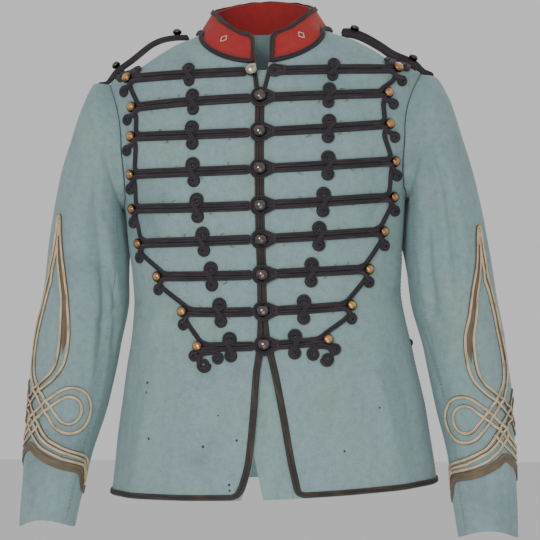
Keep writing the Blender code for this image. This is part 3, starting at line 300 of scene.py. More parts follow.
# Frogging rows from the collar down: height at the middle, then for each side the reach of the outer button,
# how far the row lifts on its way there, and the place of the eyes
ROW_COLUMNS = "row height reach_right lift_right eyes_right reach_left lift_left eyes_left"
FROGGING_ROWS = (
    (1, -43.7, 171, 0, 91, 170, 1, 91),
    (2, -78, 164, -2, 85, 158, 3, 86),
    (3, -121.5, 163.5, 5, 85, 159, 5.5, 86),
    (4, -167.5, 165, 4, 83.5, 166, 5, 85),
    (5, -212.5, 164, 5.5, 79, 163, 5, 78.5),
    (6, -254, 156.5, 2.5, 72.5, 150.5, 3.5, 72.5),
    (7, -298, 131.5, 3.5, 63.5, 131, 1, 62),
    (8, -344, 100.5, 3.5, 53.5, 108.5, 2, 51.5),
    (9, -386.5, 81.5, 1.5, 42, 78.5, 3.5, 39),
)
LAST_ROW = 9
STRAND_APART = 3.15
UPPER_EYE_RADIUS = 9.2
UPPER_EYE_RISE = 9.4
LOWER_EYE_RADIUS = 8.3
LOWER_EYE_DROP = 11.2
LOOP_RADIUS = 9.8
LOOP_NECK = 6.9
LOOP_LIFT = 2.9
FIRST_LOOP_RADIUS = 5.6
FIRST_LOOP_MIDDLE = 17.5
BUTTON_LINE = 0.6
FIRST_BUTTON_PLACE = -11
RIGHT_BAR_START = 16
FIRST_BAR_START = 22

# Cords at a row's outer end, outward and up from its button: the link from above arrives, the next one
# leaves, and the lower strand curls into an eye
LINK_ARRIVES = ((-6, 7.2), (-9.5, 3.8))
LOW_LINK_ARRIVES = ((-0.5, 9.2), (-6, 5.2))
LOW_LINKS = 6
LINK_LEAVES = ((-3.5, -8.5), (-6, -15))
CURL = ((-9.5, -3.5), (-5.5, -6.2), (-2.5, -10))
OUTER_EYES = ((7, -15), (8.5, -14.5), (9.5, -16.5), (4.5, -18), (4, -17.5), (2, -18), (1, -17), (0, -16.5))
OUTER_EYE_RADIUS = 7.6

# A row's strands start this far inside its button; the lower one crosses the link and winds into the outer eye
BAR_START = -13.5
BAR_STEP = 6
CROSSING = (-4.5, -9)
CROSSING_REACH = 11
CROSSING_RUN = 6
CROSSING_LIFT = 0.8
CURL_END = 110
CURL_TURN = -430
CURL_TAIL = 10
CURL_TAIL_LIFT = 0.7
FILLER = (-24, -3, 1.5)

# A loop rises off the cloth before its neck, which a wedge of cord fills and a whipping holds
LOOP_RISE_START = 4
LOOP_RISE_RUN = 9
LOOP_ARC = (60, 300)
WEDGE_REACH = 11
WEDGE_LIFT = 0.2
WHIP_TURNS = 3
WHIP_POINTS = 15
WHIP_REACH = 6.9
WHIP_THREAD = (0.8, 0.7)

# Eyes wind out from near their middle, the first rows' ones drawn smaller: end angles, turn and sizes
UPPER_EYE_END = -58
LOWER_EYE_END = 122
EYE_TURN = 620
LAST_EYE_ENDS = (165, 40)
LAST_EYE_TURN = 560
FIRST_EYES_SHARE = 0.62
EYES_SHARE_STEP = 0.12
SPIRAL_POINTS = 44
SPIRAL_HEART = 0.12
SPIRAL_GROWTH = 1.45
COIL_TURN = 340
CORD_END = 2.4

# Broken threads of the cords
CORD_THREAD = (0.5, 0.45)
CORD_THREADS = 5
CORD_THREAD_SEEDS = {"right": 5, "left": 3}
CORD_THREAD_FROM = 28
CORD_THREAD_TO = 0.85

# Distances between the points of laid cords
BAR_PATH_STEP = 1.9
EYE_PATH_STEP = 1.5
TIE_PATH_STEP = 1.2
THREAD_PATH_STEP = 0.8
KNOT_PATH_STEP = 1.7

# Ends of the first and last rows, outward and up from their outer button: eyes, their radius and ties
FIRST_ROW_EYES = ((14, 4), (-13.5, 8.5))
FIRST_ROW_EYE_RADIUS = 7.2
FIRST_ROW_TIE_RADII = (9, 13.5)
LAST_ROW_EYES = {
    "right": ((6, -11, 6.8), (-7, -23, 9.6), (-25, -14.5, 8.3)),
    "left": ((9.5, -12, 7.2), (-1.5, -24, 9), (-18.5, -16, 8.8)),
}
LAST_ROW_TIE = ((-6.8, -21), (-6.6, -15), (-2.5, -10), (6, -7.8), (15, -8.4), (21, -11.5))

# Buttons
BUTTON_HEIGHT_RATIO = 1.35
BUTTON_PROFILE = (
    (0, 0), (0.62, 0), (0.66, 0.05), (0.70, 0.09), (0.80, 0.14), (0.93, 0.25), (0.995, 0.38), (0.99, 0.50),
    (0.94, 0.63), (0.83, 0.76), (0.66, 0.87), (0.45, 0.945), (0.22, 0.985), (0, 1),
)
BUTTON_SIDES = 28
BUTTON_SLOTS = {"bronze": "bronze_button", "silver": "bronze_button", "brass": "brass_button"}
CENTRE_BUTTON_LIFT = LAY_GAP + 2.4
BUTTON_LIFT = 0.5
WAIST_BUTTON_TURN = 104
WAIST_BUTTON_HEIGHT = -396

# Shoulder cords: distance from the middle, and how far the cord arches clear of the shoulder
ARCH_COLUMNS = "distance right left"
SHOULDER_ARCH = (
    (99, 1, 1),
    (110, 5, 4.5),
    (123, 10, 6),
    (136, 15, 6.5),
    (149, 17, 6.5),
    (162, 15.5, 5.5),
    (175, 11.5, 4.5),
    (188, 7.5, 3.5),
    (201, 1.2, 1),
    (210, -1.4, 0.4),
    (219, -1.2, 0.2),
)
CORD_TILT = {"right": 0.1, "left": 1.0}
SHOULDER_BUTTONS_AT = {"neck": 114, "arm": 188}
SHOULDER_BUTTON_LIFT = 7.4
SHOULDER_CORD = (5.6, 7.2, 0.16)
SHOULDER_CORDS_AWAY = 2.9
SHOULDER_CORD_END = 4
CORD_THINS_FROM = 192
CORD_THINNEST = 0.4

# Coil of cord at the arm's button: its place from the cord, section, radii and turn
COIL_PLACE = (0, -19, -5)
COIL_CORD = (5.2, 3)
COIL_RADII = (2, 7)
COIL_WINDING = 700
COIL_POINTS = 60

# Cuff knot, half of it, as places across and up from its crossing, with half the space between its strands
KNOT_HEIGHT_AT = {"right": -470, "left": -480}
KNOT_ANGLE = {"right": 44, "left": 38}
KNOT_BRANCH = (
    (0, 228, 3),
    (-5.5, 192, 3.4),
    (-13, 160, 3.9),
    (-19.5, 132, 4.6),
    (-26.6, 92, 5.6),
    (-26.5, 60, 5.2),
    (-18.5, 38, 4.4),
    (0, 19, 4.2),
)
KNOT_LOOP_MIDDLE = 51
KNOT_LOOP_RADIUS = 22.5
KNOT_TAIL = (
    (0, -15, 4),
    (-20, -36, 3.2),
    (-34, -44.5, 2.9),
    (-54, -52, 2.8),
    (-74, -56.5, 2.8),
    (-87, -62, 2.8),
    (-94, -76, 2.8),
    (-97, -92, 2.8),
)
KNOT_UNDER = (
    (13, -21), (5, -30), (-3, -37.5), (-12, -45), (-24, -53), (-46, -60), (-76, -65.5), (-86, -70), (-91, -82),
    (-93, -96),
)
KNOT_CORE_FOOT = 66
KNOT_CORE_TAPER = 28
KNOT_CORE_MARGIN = 2.5
KNOT_CORE_RISE = 0.9
KNOT_STRAND_RISE = 1.7
KNOT_STRAND_GROOVE = 0.35
KNOT_LOOP_HALF_TURN = 130
KNOT_LOOP_POINTS = 19
KNOT_LOOP_SPACE = (4.6, 2.2)
KNOT_OVER = 1.75
KNOT_OVER_REACH = 1.6

# How far each knot sways to the outside of its arm on the way up
SWAY_COLUMNS = "up right left"
KNOT_SWAY = (
    (-100, 0, 0),
    (10, 0, 0),
    (60, -6, -5),
    (95, -6.5, -5),
    (130, -6, 0.5),
    (160, -4, 4),
    (195, -3, 9),
    (228, 0, 14),
)

# Cuff band: angle from the knot's axis to the outside of the arm, and height from the knot's crossing
BAND_COLUMNS = "angle height"
CUFF_BAND = (
    (-180, -104),
    (-150, -104),
    (-125, -99),
    (-112, -87),
    (-105, -79),
    (-95, -72.5),
    (-57, -68),
    (-27, -61.5),
    (-13, -57),
    (0, -52),
    (25, -61),
    (50, -75),
    (85, -90),
    (120, -101),
    (180, -104),
)
BAND_RADIUS = 47
BAND_RISE = 1.4
BAND_POINTS = 240

# Soft lights, in metres and watts: name, place, size and power
LIGHTS = (
    ("key", (-0.7, -2.6, 0.4), 0.45, 20),
    ("fill", (0.35, -1.8, -0.95), 1.2, 8.5),
    ("back", (0.6, 2.4, 1.6), 1.8, 20),
)
LIGHTS_AIM = (0, 0, -0.3)
SURROUND_STRENGTH = 0.85
SENSOR_WIDTH = 36
FLOOR_REACH = 9

# Small moth holes in the cloth, each shown as a dark disc of painted shade: distance from the middle, height and
# size
NIBBLES = (
    (-152, -429, 2),
    (-153, -441, 1.5),
    (-152, -499, 2),
    (-80, -508, 2),
    (-37, -501, 1.7),
    (-47, -555, 1.9),
    (-46.5, -562, 1.5),
    (-60, -470, 1.2),
    (96, -520, 1.6),
    (140, -470, 1.3),
)
NIBBLE_SEED = 7
NIBBLE_SIDES = 12
NIBBLE_RINGS = ((1, -0.05), (0.8, 0.16), (0.2, 0.10))

# Small steps that measure how each surface lies, the flattest angle of a sharp edge, and cut rows and columns
TORSO_STEPS = (0.3, 0.5)
MM_STEPS = (0.5, 0.5)
SLEEVE_STEPS = (1, 0.02)
COLLAR_STEPS = (0.002, 0.02)
SHARP_ANGLE = 55
SKIRT_ROWS = 96
ARMHOLE_ROWS = 46
SHOULDER_ROWS = 20
PANEL_COLUMNS = 84
SLEEVE_ROWS = 190
SLEEVE_COLUMN_TURN = 2.5
COLLAR_COLUMNS = 200
COLLAR_ROWS = 22
UNDERLAP_ROWS = 150
UNDERLAP_COLUMNS = 20


class Table:
    """Named columns against the first one, read at arrays of places as smooth curves that don't overshoot."""

    def __init__(self, names, rows):
        data = np.array(sorted(rows), float)
        self.knots = data[:, 0]
        self.columns = dict(zip(names.split(), data.T))

    def at(self, name, place):
        place = np.asarray(place, float)
        i = np.clip(np.searchsorted(self.knots, place) - 1, 0, len(self.knots) - 2)
        values = self.columns[name]
        slopes = steady_slopes(self.knots, values)
        span = self.knots[i + 1] - self.knots[i]
        t = np.clip((place - self.knots[i]) / span, 0, 1)
        return cubic(values[i], values[i + 1], span * slopes[i], span * slopes[i + 1], t)


def steady_slopes(knots, values):
    """Slopes that keep a cubic curve between its points: none at a peak, the harmonic mean elsewhere."""
    rates = (np.diff(values, axis=0).T / np.diff(knots)).T
    slopes = np.zeros_like(values, float)
    slopes[0] = rates[0]
    slopes[-1] = rates[-1]
    both = rates[:-1] * rates[1:]
    total = rates[:-1] + rates[1:]
    slopes[1:-1] = np.where(both > 0, 2 * both / np.where(total == 0, 1, total), 0)
    return slopes


def cubic(start, end, leaving, arriving, t):
    """The cubic curve between two values with those slopes."""
    first = (1 + 2 * t) * (1 - t) ** 2 * start + t * (1 - t) ** 2 * leaving
    return first + t * t * (3 - 2 * t) * end - t * t * (1 - t) * arriving


TORSO = Table(TORSO_COLUMNS, TORSO_SECTIONS)
EDGES = Table(EDGE_COLUMNS, FRONT_EDGES)
ROWS = Table(ROW_COLUMNS, FROGGING_ROWS)
ARCH = Table(ARCH_COLUMNS, SHOULDER_ARCH)
BAND = Table(BAND_COLUMNS, CUFF_BAND)
SWAY = Table(SWAY_COLUMNS, KNOT_SWAY)
SLEEVES = {side: Table(SLEEVE_COLUMNS, rows) for side, rows in SLEEVE_RINGS.items()}


def unit(vectors):
    return vectors / np.maximum(np.linalg.norm(vectors, axis=-1, keepdims=True), 1e-12)


def ease(value):
    value = np.clip(value, 0, 1)
    return value * value * (3 - 2 * value)


def round_angles(count):
    return np.linspace(0, math.tau, count, endpoint=False)


def wheel(first, second, sides):
    """Directions all round, from two that are square to each other."""
    angles = round_angles(sides)
    return np.cos(angles)[:, None] * first + np.sin(angles)[:, None] * second


def lengths_along(points):
    """How far along a path each of its points lies."""
    steps = np.linalg.norm(np.diff(points, axis=0), axis=-1)
    return np.concatenate((np.zeros_like(steps[:1]), np.cumsum(steps, axis=0)))


def places_at(u, v):
    """Places on a surface, from two coordinates of which one may be the same all along."""
    return np.stack(np.broadcast_arrays(u, v), axis=-1)


def swept(spine, aside, up, across, height):
    """Rings of a section along a spine, measured sideways and up from it."""
    return spine[:, None] + aside[:, None] * across[..., None] + up[:, None] * height[..., None]


def folds_in(folds, turn, height):
    """How far the large soft folds draw the cloth in."""
    depth = np.zeros(np.broadcast(turn, height).shape)
    for turn_top, turn_foot, top, foot, width, deepest in folds:
        along = np.clip((top - height) / (top - foot), 0, 1)
        away = turn - turn_top - (turn_foot - turn_top) * along
        depth = depth + deepest * np.sin(math.pi * along) * np.exp(-((away / width) ** 2))
    return depth


def creases_in(creases, turn, height, mm_per_degree):
    """How far the listed creases draw the cloth in: uneven soft troughs and ridges between two ends."""
    depth = np.zeros(np.broadcast(turn, height).shape)
    for turn_a, height_a, turn_b, height_b, width, deepest, bow in creases:
        across = (turn_b - turn_a) * mm_per_degree
        down = height_b - height_a
        length = math.hypot(across, down)
        from_a = (turn - turn_a) * mm_per_degree
        fall = height - height_a
        t = (from_a * across + fall * down) / length**2
        away = (from_a * down - fall * across) / length - bow * 4 * t * (1 - t)
        window = np.sin(math.pi * np.clip(t, 0, 1)) ** 0.8 * (1 + 0.25 * np.sin(9 * t + turn_a))
        spread = width * (0.75 + 0.5 * np.clip(t, 0, 1))
        depth = depth + CREASE_DEPTH * deepest * window * np.exp(-((away / spread) ** 2))
    return depth


def slack(turn, height):
    """A slight waviness that all worn cloth has."""
    return 0.45 * np.sin(0.11 * turn + 0.031 * height) * np.sin(0.047 * height - 0.05 * turn)


def torso(turn, height):
    """The body's outer surface. The turn is 0 at the centre front, 90 at the left side and 180 at the back."""
    turn, height = np.broadcast_arrays(np.asarray(turn, float), np.asarray(height, float))
    angle = np.radians(turn)
    inward = folds_in(SKIRT_FLUTES, turn, height) + slack(turn, height)
    inward = inward + creases_in(BODY_CREASES, turn, height, BODY_MM_PER_DEGREE)
    depth = np.where(np.cos(angle) > 0, TORSO.at("front", height), TORSO.at("back", height)) - inward
    x = (TORSO.at("half_width", height) - inward) * np.sin(angle)
    z = height + TORSO.at("rise", height) * x
    return np.stack((x + TORSO.at("drift", height), -depth * np.cos(angle), z), axis=-1)


def front_turn(x, height):
    """The turn at which the front of the body is this far from the middle."""
    return np.degrees(np.arcsin(np.clip(x / TORSO.at("half_width", height), -1, 1)))


def front(x, height):
    return torso(front_turn(x, height), height)


def armhole(angle):
    """Turn and height on the left armhole: -90 is its foot, 0 its front, 90 the shoulder and 180 its back."""
    around = np.radians(angle)
    middle = (ARMHOLE_TOP + ARMHOLE_BOTTOM) / 2
    ahead = np.cos(around)
    turn = 90 - ahead * np.where(ahead > 0, ARMHOLE_FRONT_TURN, ARMHOLE_BACK_TURN)
    return turn, middle + (ARMHOLE_TOP - middle) * np.sin(around)


def sleeve(side, angle, ring):
    """A sleeve's outer surface. The angle is 0 in front, 90 outside and -90 inside; ring 0 is the armhole."""
    angle, ring = np.broadcast_arrays(np.asarray(angle, float), np.asarray(ring, float))
    shape = angle.shape
    angle = angle.ravel()
    ring = np.clip(ring.ravel(), 0, CUFF_RING)
    sign = SIDES[side]
    rings = {name: column[:, None] for name, column in SLEEVES[side].columns.items()}
    around = np.radians(angle)
    x = (rings["outer_x"] + rings["inner_x"]) / 2 + (rings["outer_x"] - rings["inner_x"]) / 2 * np.sin(around)
    y = rings["centre_y"] - rings["depth"] * np.cos(around)
    z = (rings["outer_z"] + rings["inner_z"]) / 2 + (rings["outer_z"] - rings["inner_z"]) / 2 * np.sin(around)
    z[-1] += CUFF_ARCH * np.cos(around) ** 2
    turn, height = armhole(angle)
    points = np.concatenate((torso(sign * turn, height)[None], np.stack((sign * x, y, z), axis=-1)))
    slopes = steady_slopes(np.arange(len(points), dtype=float), points)
    i = np.clip(ring.astype(int), 0, len(points) - 2)
    each = np.arange(len(angle))
    t = (ring - i)[:, None]
    point = cubic(points[i, each], points[i + 1, each], slopes[i, each], slopes[i + 1, each], t)
    level = sleeve_height(side, ring)
    facing = (angle + 180) % 360 - 180
    inward = folds_in(SLEEVE_FOLDS[side], facing, level)
    worn = (angle - FRONT_SEAM_ANGLE + 40) % 360 + FRONT_SEAM_ANGLE - 40
    fine = creases_in(SLEEVE_CREASES[side], worn, level, SLEEVE_MM_PER_DEGREE) + slack(2 * angle, level)
    inward = inward + fine * ease(ring / 2)
    point = point - inward[:, None] * np.stack((sign * np.sin(around), -np.cos(around), 0 * around), axis=-1)
    return point.reshape(*shape, 3)


def sleeve_height(side, ring):
    """The height of the middle of a ring."""
    rings = SLEEVES[side].columns
    return np.interp(ring, rings["ring"], (rings["outer_z"] + rings["inner_z"]) / 2)


def ring_at(side, height):
    """The ring whose middle is at this height."""
    rings = SLEEVES[side].columns
    return np.interp(-np.asarray(height), -(rings["outer_z"] + rings["inner_z"]) / 2, rings["ring"])


def cuff_surface(side):
    """A sleeve as places across, to +X, and up from the middle of its knot."""

    def surface(across, up):
        ring = ring_at(side, KNOT_HEIGHT_AT[side] + up)
        rings = SLEEVES[side]
        radius = (rings.at("depth", ring) + (rings.at("outer_x", ring) - rings.at("inner_x", ring)) / 2) / 2
        turn = SIDES[side] * across + SWAY.at(side, up)
        return sleeve(side, KNOT_ANGLE[side] + np.degrees(turn / radius), ring)

    return surface


def band_surface(side):
    """A sleeve as places round and up from the middle of its knot, at one even radius."""

    def surface(across, up):
        ring = ring_at(side, KNOT_HEIGHT_AT[side] + up)
        return sleeve(side, KNOT_ANGLE[side] + SIDES[side] * np.degrees(across / BAND_RADIUS), ring)

    return surface


def neck_ends():
    """How far the neck's ends turn from the middle, right and left."""
    return [float(front_turn(EDGES.at(side, NECK_FRONT), NECK_FRONT)) for side in SIDES]


def collar(along, up):
    """The collar's outer surface: along from its left end by the back to its right one, up from its base."""
    along, up = np.broadcast_arrays(np.asarray(along, float), np.asarray(up, float))
    right_end, left_end = neck_ends()
    turn = left_end + along * (360 - right_end - left_end)
    ahead = np.cos(np.radians(turn))
    sweep = np.abs(ahead) ** np.where(ahead > 0, NECK_FRONT_SWEEP, SWEEP)
    height = NECK_SIDE + (np.where(ahead > 0, NECK_FRONT, NECK_BACK) - NECK_SIDE) * sweep
    base = torso((turn + 180) % 360 - 180, height)
    right_end = math.degrees(math.asin(COLLAR_END_RIGHT / COLLAR_TOP_HALF_WIDTH))
    left_end = math.degrees(math.asin(COLLAR_END_LEFT / COLLAR_TOP_HALF_WIDTH))
    angle = np.radians(left_end + along * (360 - right_end - left_end))
    ahead = np.cos(angle)
    rise = np.where(ahead > 0, COLLAR_TOP_FRONT_Z, COLLAR_TOP_BACK_Z) - COLLAR_TOP_SIDE_Z
    sweep = np.abs(ahead) ** np.where(ahead > 0, COLLAR_FRONT_SWEEP, COLLAR_BACK_SWEEP)
    x = COLLAR_TOP_HALF_WIDTH * np.sin(angle)
    y = -np.where(ahead > 0, COLLAR_TOP_FRONT, COLLAR_TOP_BACK) * ahead
    z = COLLAR_TOP_SIDE_Z + rise * sweep + TORSO.at("rise", NECK_SIDE) * x
    top = np.stack((x + TORSO.at("drift", NECK_SIDE), y, z), axis=-1)
    return base + up[..., None] * (top - base)


def outward(surface, places, steps):
    """A surface's points at an array of places, their two rates of change and their outward directions."""
    u, v = np.moveaxis(np.asarray(places, float), -1, 0)
    du, dv = steps
    along_u = (surface(u + du, v) - surface(u - du, v)) / (2 * du)
    along_v = (surface(u, v + dv) - surface(u, v - dv)) / (2 * dv)
    return surface(u, v), along_u, along_v, unit(np.cross(along_u, along_v))


def smooth_path(points, step):
    """A smooth curve through given places, with a point about every step."""
    points = np.asarray(points, float)
    ends = np.vstack((2 * points[0] - points[1], points, 2 * points[-1] - points[-2]))
    path = []
    for before, start, end, after in zip(ends, ends[1:], ends[2:], ends[3:]):
        t = np.arange(0, 1, min(1.0, step / max(np.linalg.norm(end - start), step)))[:, None]
        bend = 2 * before - 5 * start + 4 * end - after
        path.append(start + 0.5 * t * (end - before + t * (bend + t * (3 * start - before - 3 * end + after))))
    path.append(points[-1:])
    return np.concatenate(path)


def row_place(side, row, x):
    """A place on one side's half of a frogging row."""
    share = x / ROWS.at(f"reach_{side}", row)
    return x, float(ROWS.at("height", row) + ROWS.at(f"lift_{side}", row) * share**2)


def row_end(side, row):
    """The place of a row's outer button."""
    return row_place(side, row, float(ROWS.at(f"reach_{side}", row)))


def beside(place, out, up):
    """A place on the left front, this far outward and up along the cloth from another."""
    along = outward(front, place, MM_STEPS)[1]
    return place[0] + out / np.linalg.norm(along), place[1] + up


def arc(middle, radius, start, end, step=15.0):
    """Places round a middle, from one angle to another."""
    angles = np.radians(np.linspace(start, end, max(2, round(abs(end - start) / step) + 1)))
    return np.column_stack((middle[0] + radius * np.cos(angles), middle[1] + radius * np.sin(angles)))


class MeshBook:
    """Points, faces and flat coordinates of the shapes that are joined into one object."""

    def __init__(self):
        self.points = []
        self.faces = []
        self.flat = []
        self.kinds = []
        self.count = 0

    def add(self, points, faces, flat, kind=0):
        """Takes one shape, its faces as point numbers with each corner's flat place, and faces it outward."""
        points = np.asarray(points, float).reshape(-1, 3)
        corners = points[faces]
        centre = points.mean(axis=0)
        first = corners[:, 0] - centre
        volume = 0.0
        for k in range(1, faces.shape[1] - 1):
            volume += np.einsum("ij,ij->", first, np.cross(corners[:, k] - centre, corners[:, k + 1] - centre))
        if volume < 0:
            faces = faces[:, ::-1]
            flat = flat[:, ::-1]
        self.points.append(points)
        self.faces.append(faces + self.count)
        self.flat.append(flat)
        self.kinds.append(np.full(len(faces), kind))
        self.count += len(points)

    def shell(self, outer, inner, kind=0):
        """A thin closed sheet between two grids of points."""
        rows, columns = outer.shape[:2]
        size = rows * columns
        number = np.arange(size).reshape(rows, columns)
        quads = np.stack((number[:-1, :-1], number[:-1, 1:], number[1:, 1:], number[1:, :-1]), axis=-1)
        quads = quads.reshape(-1, 4)
        rim = np.concatenate((number[0], number[1:, -1], number[-1, -2::-1], number[-2:0:-1, 0]))
        after = np.roll(rim, -1)
        edge = np.stack((rim, rim + size, after + size, after), axis=-1)
        across = lengths_along(outer.swapaxes(0, 1)).T
        across = across - across.mean(axis=1, keepdims=True)
        place = places_at(across, lengths_along(outer)).reshape(-1, 2) * MM
        place = np.concatenate((place, place))
        faces = np.concatenate((quads, quads[:, ::-1] + size, edge))
        self.add(np.concatenate((outer.reshape(-1, 3), inner.reshape(-1, 3))), faces, place[faces], kind)

    def tube(self, rings, kind=0, hoop=False):
        """A closed length through rings of points, capped at its ends or joined into a hoop."""
        rings = np.asarray(rings, float)
        count, sides = rings.shape[:2]
        number = np.arange(count * sides).reshape(count, sides)
        ahead = np.roll(number, -1, axis=0) if hoop else number[1:]
        here = number if hoop else number[:-1]
        quads = np.stack((here, np.roll(here, -1, 1), np.roll(ahead, -1, 1), ahead), axis=-1).reshape(-1, 4)
        middle = rings.mean(axis=1)
        along = lengths_along(middle)
        widest = rings[count // 2]
        around = lengths_along(np.concatenate((widest, widest[:1])))
        step = along[-1] / max(count - 1, 1)
        u = np.append(along, along[-1] + step) * MM
        v = around * MM
        i, j = np.divmod(np.arange(len(quads)), sides)
        turns = ((0, 0), (0, 1), (1, 1), (1, 0))
        flat = np.stack([places_at(u[i + far], v[j + on]) for far, on in turns], axis=1)
        if not hoop:
            fan = np.arange(1, sides - 1)
            start = np.stack((0 * fan, fan + 1, fan, fan), axis=-1)
            end = np.stack((0 * fan, fan, fan + 1, fan + 1), axis=-1) + (count - 1) * sides
            caps = np.concatenate((start, end))
            quads = np.concatenate((quads, caps))
            flat = np.concatenate((flat, np.zeros((len(caps), 4, 2))))
        self.add(rings, quads, flat, kind)

    def make(self, name, finish_names, node_names, slot):
        """The joined object, which rides on the part's body and stands for CAD nodes."""
        if not self.faces:
            raise RuntimeError(f"{name} has no faces")
        mesh = bpy.data.meshes.new(name)
        faces = np.concatenate(self.faces)
        flat = np.concatenate(self.flat)
        kinds = np.concatenate(self.kinds)
        triangle = faces[:, 2] == faces[:, 3]
        lists = [face[:3] if three else face for face, three in zip(faces.tolist(), triangle)]
        mesh.from_pydata((np.concatenate(self.points) * MM).tolist(), [], lists)
        corners = np.ones(faces.shape, bool)
        corners[triangle, 3] = False
        layer = mesh.uv_layers.new(name="flat")
        layer.data.foreach_set("uv", flat[corners].astype(np.float32).ravel())
        mesh.polygons.foreach_set("material_index", kinds.astype(np.int32))
        for finish in finish_names:
            mesh.materials.append(finishes()[finish])
        mesh.shade_smooth()
        mesh.set_sharp_from_angle(angle=math.radians(SHARP_ANGLE))
        mesh.validate()
        obj = bpy.data.objects.new(name, mesh)
        bpy.context.scene.collection.objects.link(obj)
        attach(obj, "root")
        if node_names:
            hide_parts(*node_names)
        return obj


def laid_rings(surface, steps, path, section, lift, spread=1.0, swell=1.0):
    """Rings of a braid's section along a path of places on a surface, scaled across and up along the way."""
    path = np.asarray(path, float)
    point, along_u, along_v, normal = outward(surface, path, steps)
    rate = np.gradient(path, axis=0)
    ahead = unit(along_u * rate[:, :1] + along_v * rate[:, 1:])
    aside = np.cross(normal, ahead)
    across, up = np.asarray(section, float).T
    across = np.outer(np.broadcast_to(spread, len(path)), across)
    up = np.outer(np.broadcast_to(swell, len(path)), up) + np.broadcast_to(lift, len(path))[:, None]
    return swept(point, aside, normal, across, up)


def rounded_ends(path, radius):
    """Shares that round off both ends of a cord along a path."""
    along = lengths_along(path)
    near = np.clip(np.minimum(along, along[-1] - along) / radius, 0.04, 1)
    return np.sqrt(1 - (1 - near) ** 2)


def soutache(width, height, groove=0.3):
    """The section of a flat cord with a groove down its middle: a rounded top over a flat foot."""
    across = np.linspace(-0.5, 0.5, 13)
    crown = (1 - np.abs(2 * across) ** 5) ** 0.4
    up = height * crown * (1 - groove * np.exp(-((across / 0.07) ** 2)))
    top = np.column_stack((across * width, up))
    return np.vstack((top, ((0.25 * width, 0.0), (-0.25 * width, 0.0))))


def flat_section(width, height):
    """The section of a flat tape with rounded edges."""
    half = width / 2
    top = [(share * half, height) for share in (-0.86, -0.4, 0.0, 0.4, 0.86)]
    return np.array([(-half, 0.3 * height), (-0.96 * half, 0.8 * height), *top, (0.96 * half, 0.8 * height),
                     (half, 0.3 * height), (0.9 * half, 0.0), (-0.9 * half, 0.0)])


def round_section(width, height, sides=10):
    """An oval section on its foot."""
    angles = round_angles(sides)
    return np.column_stack((width / 2 * np.cos(angles), height / 2 * (1 - np.sin(angles))))


def add_node(tree, kind, inputs=(), **settings):
    """A shader node with its settings, and its inputs given as values or as the sockets that feed them."""
    made = tree.nodes.new(kind)
    for name, value in settings.items():
        setattr(made, name, value)
    for name, value in dict(inputs).items():
        if isinstance(value, bpy.types.NodeSocket):
            tree.links.new(value, made.inputs[name])
        else:
            made.inputs[name].default_value = value
    return made


def new_finish(name, roughness, metallic=0.0, sheen=0.0, sheen_tint=(1, 1, 1)):
    """A material, its tree, shader and flat coordinates, with what is the same all over set on the shader."""
    material = bpy.data.materials.new(name)
    material.use_nodes = True
    tree = material.node_tree
    shader = tree.nodes["Principled BSDF"]
    shader.inputs["Roughness"].default_value = roughness
    shader.inputs["Metallic"].default_value = metallic
    shader.inputs["Sheen Weight"].default_value = sheen
    shader.inputs["Sheen Roughness"].default_value = 0.45
    shader.inputs["Sheen Tint"].default_value = (*sheen_tint, 1)
    flat = add_node(tree, "ShaderNodeUVMap", uv_map="flat").outputs["UV"]
    return material, tree, shader, flat


def noise(tree, vector, scale, detail=3.0, roughness=0.55):
    inputs = {"Vector": vector, "Scale": scale, "Detail": detail, "Roughness": roughness}
    return add_node(tree, "ShaderNodeTexNoise", inputs).outputs["Fac"]


def ramp(tree, value, stops):
    """Colours along a value."""
    made = add_node(tree, "ShaderNodeValToRGB", {"Fac": value})
    elements = made.color_ramp.elements
    while len(elements) < len(stops):
        elements.new(0.5)
    for element, (position, colour) in zip(elements, stops):
        element.position = position
        element.color = (*colour, 1)
    return made.outputs["Color"]


def mixed(tree, factor, first, second, blend="MIX"):
    made = add_node(tree, "ShaderNodeMix", data_type="RGBA", blend_type=blend)
    for socket, value in ((made.inputs[0], factor), (made.inputs[6], first), (made.inputs[7], second)):
        if isinstance(value, bpy.types.NodeSocket):
            tree.links.new(value, socket)
        else:
            socket.default_value = value if isinstance(value, float) else (*value, 1)
    return made.outputs[2]


def summed(tree, first, second, share):
    """One value plus a share of another."""
    made = add_node(tree, "ShaderNodeMath", {0: second, 1: share, 2: first}, operation="MULTIPLY_ADD")
    return made.outputs[0]


def ridges(tree, vector, scale, turn):
    """Even ridges across flat coordinates, turned by an angle."""
    turned = add_node(tree, "ShaderNodeMapping", {"Vector": vector, "Rotation": (0, 0, math.radians(turn))})
    waver = {"Distortion": 0.6, "Detail": 1.0, "Detail Scale": 3.0}
    inputs = {"Vector": turned.outputs[0], "Scale": scale, **waver}
    return add_node(tree, "ShaderNodeTexWave", inputs).outputs["Fac"]


def crossed(tree, flat, pitch, slant):
    """Strands that slant both ways across each other."""
    return mixed(tree, 0.5, ridges(tree, flat, pitch, slant), ridges(tree, flat, pitch, -slant), "LIGHTEN")


def object_place(tree):
    return add_node(tree, "ShaderNodeTexCoord").outputs["Object"]


def stretched(tree, vector, scale):
    """Coordinates drawn out by a scale on each axis."""
    return add_node(tree, "ShaderNodeMapping", {"Vector": vector, "Scale": scale}).outputs[0]


def axis_of(tree, vector, axis):
    return add_node(tree, "ShaderNodeSeparateXYZ", {"Vector": vector}).outputs[axis]


def scaled(tree, value, factor):
    return add_node(tree, "ShaderNodeMath", {0: value, 1: factor}, operation="MULTIPLY").outputs[0]


def bump(tree, shader, height, strength, distance):
    made = add_node(tree, "ShaderNodeBump", {"Height": height, "Strength": strength, "Distance": distance})
    tree.links.new(made.outputs["Normal"], shader.inputs["Normal"])


def paint(tree, shader, colour):
    tree.links.new(colour, shader.inputs["Base Color"])


